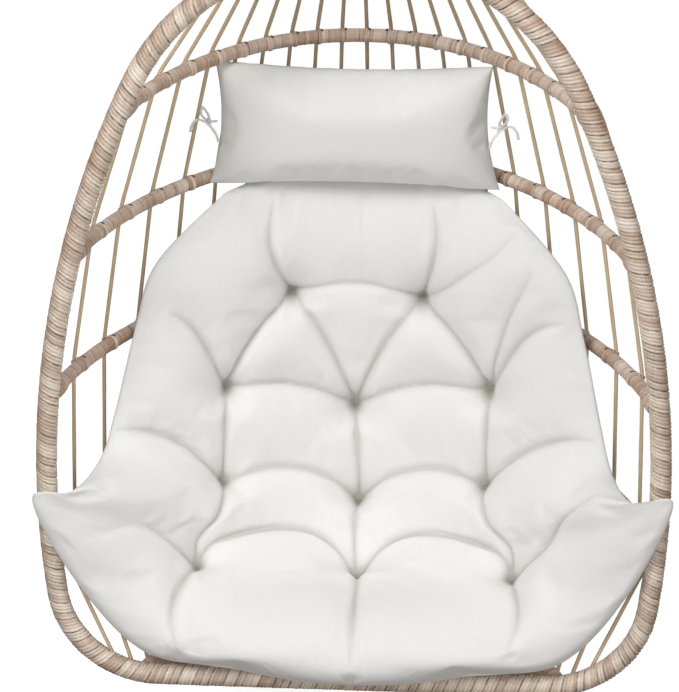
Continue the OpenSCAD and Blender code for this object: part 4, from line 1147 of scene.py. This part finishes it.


# sharp folds along the creases, cut after the cover is blown up, with painted shade stored along the folds
# and in the tuft pits
def foldCreases(piece):
    mesh = piece.data
    count = len(mesh.vertices)
    points, normals = np.empty(count * 3), np.empty(count * 3)
    mesh.vertices.foreach_get("co", points)
    mesh.vertices.foreach_get("normal", normals)
    points, normals = points.reshape(-1, 3), normals.reshape(-1, 3)
    fields = {}
    for key in ("chartU", "chartV", "onFace"):
        values = np.empty(count)
        mesh.attributes[key].data.foreach_get("value", values)
        fields[key] = values
    chosen = np.where(fields["onFace"] > 0.5)[0]
    u, v = fields["chartU"][chosen], fields["chartV"][chosen]
    flat = facePoint(u, v)
    best = np.full(len(chosen), 1.0)
    shift = np.zeros((len(chosen), 3))
    depthHere = np.zeros(len(chosen))
    for lineU, lineV, depth in creaseLines():
        t = np.linspace(0, 1, 160)
        grid = np.linspace(0, 1, len(lineU))
        path = facePoint(np.interp(t, grid, lineU), np.interp(t, grid, lineV))
        depth = np.interp(t, grid, depth)
        low, high = path.min(axis=0) - 0.03, path.max(axis=0) + 0.03
        near = np.where(((flat > low) & (flat < high)).all(axis=1))[0]
        apart = np.linalg.norm(flat[near][:, None, :] - path[None], axis=2)
        nearest = apart.argmin(axis=1)
        away = apart.min(axis=1)
        closer = away < best[near]
        best[near[closer]] = away[closer]
        shift[near[closer]] = (path[nearest] - flat[near])[closer]
        depthHere[near[closer]] = depth[nearest][closer]
    gathered = fold["gather"] / (best + fold["gather"])
    points[chosen] += shift * np.where(best < fold["reach"], gathered, 0)[:, None]
    best *= 1 - gathered
    strength = np.clip(depthHere / fold["full"], 0, 1.2)
    sunk = fold["depth"] * strength * np.exp(-best / fold["width"])
    points[chosen] -= normals[chosen] * sunk[:, None]
    mesh.vertices.foreach_set("co", points.ravel())
    # painted shade for the cloth's colour: along the folds and, darkest, in the tuft pits
    shade = np.zeros(count)
    shade[chosen] = fold["shade"] * strength * np.exp(-best / fold["shadeWidth"])
    for tuftU, tuftV in tufts:
        away = np.linalg.norm(flat - facePoint([tuftU], [tuftV]), axis=1)
        tuftPitShade = tuft["shade"] * np.exp(-(away / tuft["shadeWidth"]) ** 1.5)
        shade[chosen] = np.maximum(shade[chosen], tuftPitShade)
    mesh.attributes.new("paintedCreaseShade", "FLOAT", "POINT").data.foreach_set("value", shade.astype(np.float32))
    mesh.update()


def makeCushion():
    rows, columns = seat["rows"], seat["columns"]
    v, u = np.meshgrid(np.linspace(0, 1, rows), np.linspace(-1, 1, columns), indexing="ij")
    under = crossCurve(underSpine, underEdge, (2.6, 2.2), u, v)
    # the seam is tucked in under the front and under the wings, so that a round edge shows
    byFront = np.clip(1 - v / tuck["front"], 0, 1)
    byWing = np.clip((tuck["wingTop"] - v) / tuck["wingFade"], 0, 1)
    tucked = byWing * np.maximum(byFront, np.abs(u) ** 5) / 1000
    under = under + tucked[..., None] * np.array([0, tuck["inward"], -tuck["down"]])
    face = facePoint(u, v)
    low = np.clip((0.5 - v) / 0.25, 0, 1)
    low = low * low * (3 - 2 * low)
    sideRoll = cover["sideRoll"] + (cover["wingRoll"] - cover["sideRoll"]) * low
    endRoll = np.where(v < 0.5, cover["frontRoll"], cover["endRoll"])
    full = np.sqrt(np.clip(1 - np.abs(u) ** sideRoll, 0, 1)) \
        * np.sqrt(np.clip(1 - np.abs(2 * v - 1) ** endRoll, 0, 1))
    drawn, held = valleys(u.ravel(), v.ravel())
    lift = face - under
    size = np.linalg.norm(lift, axis=-1)
    depth = (size * cover["swell"] - drawn.reshape(rows, columns)) * full
    depth = np.maximum(cover["thinnest"], depth)
    front = under + lift / size[..., None] * depth[..., None]
    # the filling rolls forward over the rim's bar
    rolled = nose["out"] * full * np.exp(-((v - nose["along"]) / nose["reach"]) ** 2)
    rolled = rolled * (1 - nose["narrow"] * u ** 2)
    front = front + rolled[..., None] * np.array(nose["way"])
    piece = gridSkin("seatCushion", front.reshape(-1, 3), under.reshape(-1, 3), rows, columns)
    total = len(piece.data.vertices)
    row, column = np.divmod(np.arange(rows * columns), columns)
    edge = (row % (rows - 1) == 0) | (column % (columns - 1) == 0)
    pinned = np.ones(total)
    pinned[:rows * columns] = np.where(edge, seat["seamHold"], held)
    inflate(piece, pinned, seat["cloth"])
    charts = dict(chartU=np.zeros(total), chartV=np.zeros(total), onFace=np.zeros(total))
    charts["chartU"][:rows * columns] = u.ravel()
    charts["chartV"][:rows * columns] = v.ravel()
    charts["onFace"][:rows * columns] = np.where(edge, 0, 1)
    for key, values in charts.items():
        piece.data.attributes.new(key, "FLOAT", "POINT").data.foreach_set("value", values.astype(np.float32))
    subdivide(piece)
    foldCreases(piece)
    for key in charts:
        piece.data.attributes.remove(piece.data.attributes[key])
    dress(piece, coverCloth, "basket", "cushion_fabric", "seat_cushion")


makeCushion()
print("cushion made")


# pillow ties
tie = dict(width=0.005, thick=0.0007, gap=0.018, up=0.004, knotRadius=4.2, knotOut=-5, knotTurns=3)
# routes in mm from the knot's place: outward, back and up
tieRuns = [[(-15, -2, 0), (-11, -4, 1), (-5, -5, 1)],
           [(3, -8, 5), (9, -10, 13), (12, -10, 21), (9, -9, 30), (3, -8, 22), (-1, -7, 13), (-1, -6, 6)],
           [(6, -6, 0), (13, -8, 5), (21, -8, 4), (28, -8, -6), (31, -7, -19)],
           [(-2, -7, -6), (-6, -9, -10), (-12, -14, -16), (-16, -16, -26), (-17, -17, -32)]]


# a flat tape that turns a little as it goes, its edges thinner than its middle
def tapeMesh(route, width, thick, twist, verts, faces):
    samples = 6 * (len(route) - 1) + 1
    path = smoothAt(route, np.linspace(0, 1, samples)) / 1000
    tangents = np.gradient(path, axis=0)
    tangents /= np.linalg.norm(tangents, axis=1)[:, None]
    across = np.cross(tangents, [0, 1, 0])
    across /= np.linalg.norm(across, axis=1)[:, None]
    flat = np.cross(tangents, across)
    angle = twist * np.sin(np.linspace(0, 2 * np.pi, samples))[:, None]
    side = across * np.cos(angle) + flat * np.sin(angle)
    face = flat * np.cos(angle) - across * np.sin(angle)
    profile = [(-0.5, 0), (-0.4, 0.5), (0, 0.62), (0.4, 0.5), (0.5, 0), (0.4, -0.5), (0, -0.38), (-0.4, -0.5)]
    base = len(verts)
    for i in range(samples):
        for a, b in profile:
            verts.append(tuple(path[i] + side[i] * width * a + face[i] * thick * b))
    faces += tubeFaces(base, samples, len(profile))
    return path


def tiePoint(p, mirrored):
    seamX = pillow["width"] / 2 * (1 - pillow["waist"]) + tie["gap"]
    x = p[0] + seamX
    return pillowPlace @ Vector((-x if mirrored else x, p[1], p[2] + tie["up"]))


def tapePiece(name, run, twist, mirrored):
    verts, faces = [], []
    path = tapeMesh(run, tie["width"], tie["thick"], twist, verts, faces)
    if mirrored:
        faces = [f[::-1] for f in faces]
    piece = makeObject(name, [tiePoint(v, mirrored) for v in verts], faces)
    dress(piece, tapeCloth, "basket", "tie_tape")
    return piece, [tip @ tiePoint(p, mirrored) for p in path]


def makeTie(name, node, mirrored):
    verts, faces = [], []
    for turn in range(tie["knotTurns"]):
        ringPath = [(tie["knotRadius"] * math.cos(a) * (0.8 + 0.1 * turn),
                     tie["knotOut"] + 2.2 * math.sin(a + turn),
                     tie["knotRadius"] * math.sin(a) * (1 - 0.12 * turn))
                    for a in np.linspace(0.3 * turn, 0.3 * turn + 5.9, 12)]
        tapeMesh(ringPath, tie["width"] * 0.8, tie["thick"] * 2, 0.5, verts, faces)
    if mirrored:
        faces = [f[::-1] for f in faces]
    knot = makeObject(name + "Knot", [tiePoint(v, mirrored) for v in verts], faces)
    dress(knot, tapeCloth, "basket", "tie_tape", node)
    stem, _ = tapePiece(name + "Stem", tieRuns[0], 0.1, mirrored)
    for i, run in enumerate(tieRuns[1:]):
        piece, path = tapePiece(name + ["Loop", "TailA", "TailB"][i], run, 0.3, mirrored)


makeTie("tieLeft", "pillow_tie_left", True)
makeTie("tieRight", "pillow_tie_right", False)
print("ties made")

# floor, lights
room = dict(floorDrop=0.42, size=80, back=3, floorColour=colour("#e9e9e8"), bounceColour=colour("#8a8782"),
            floorGlow=0.7, roughness=0.7, light=0.18, lampAim=(0, 0.1, 0.5))
# size across in metres, power in watts, place from the middle of the basket's bottom bar
lamps = dict(keyLamp=(1.4, 71, (-1.3, -2.1, 3.3)), fillLamp=(2.6, 38, (2.6, -2.2, 2.9)),
             frontLamp=(2.0, 38, (0, -4.0, 1.6)), topLamp=(1.0, 16, (0, -0.6, 4.2)))
bpy.ops.mesh.primitive_plane_add(size=room["size"], location=(0, room["back"], cadLow.z - room["floorDrop"]))
floor = bpy.context.object
floor.name = "floor"
floorMaterial, floorTree, floorShader = newMaterial("paleFloor", room["roughness"])
lightPath = add(floorTree, "ShaderNodeLightPath")
floorTree.links.new(mixColour(floorTree, lightPath.outputs["Is Camera Ray"], room["bounceColour"],
                              room["floorColour"]), floorShader.inputs["Base Color"])
floorShader.inputs["Emission Color"].default_value = (1, 1, 1, 1)
seen = math2(floorTree, "MULTIPLY", lightPath.outputs["Is Camera Ray"], room["floorGlow"])
floorTree.links.new(seen, floorShader.inputs["Emission Strength"])
floor.data.materials.append(floorMaterial)

world = bpy.data.worlds.new("studio")
scene.world = world
world.use_nodes = True
worldTree = world.node_tree
background = worldTree.nodes["Background"]
background.inputs["Color"].default_value = (1, 1, 1, 1)
seenWorld = add(worldTree, "ShaderNodeLightPath")
seenAny = math2(worldTree, "MAXIMUM", seenWorld.outputs["Is Camera Ray"], seenWorld.outputs["Is Glossy Ray"])
seenAny = math2(worldTree, "MAXIMUM", seenAny, seenWorld.outputs["Is Transmission Ray"])
glow = math2(worldTree, "MULTIPLY", seenAny, 1 - room["light"])
worldTree.links.new(math2(worldTree, "ADD", room["light"], glow), background.inputs["Strength"])


def areaLamp(name, size, power, place):
    aim = Vector(room["lampAim"]) - Vector(place)
    data = bpy.data.lights.new(name, "AREA")
    data.size = size
    data.energy = power
    lamp = bpy.data.objects.new(name, data)
    scene.collection.objects.link(lamp)
    lamp.matrix_world = tip @ Matrix.Translation(bar + Vector(place)) \
        @ aim.to_track_quat("-Z", "Y").to_matrix().to_4x4()


for name, (size, power, place) in lamps.items():
    areaLamp(name, size, power, place)
print("lights set")
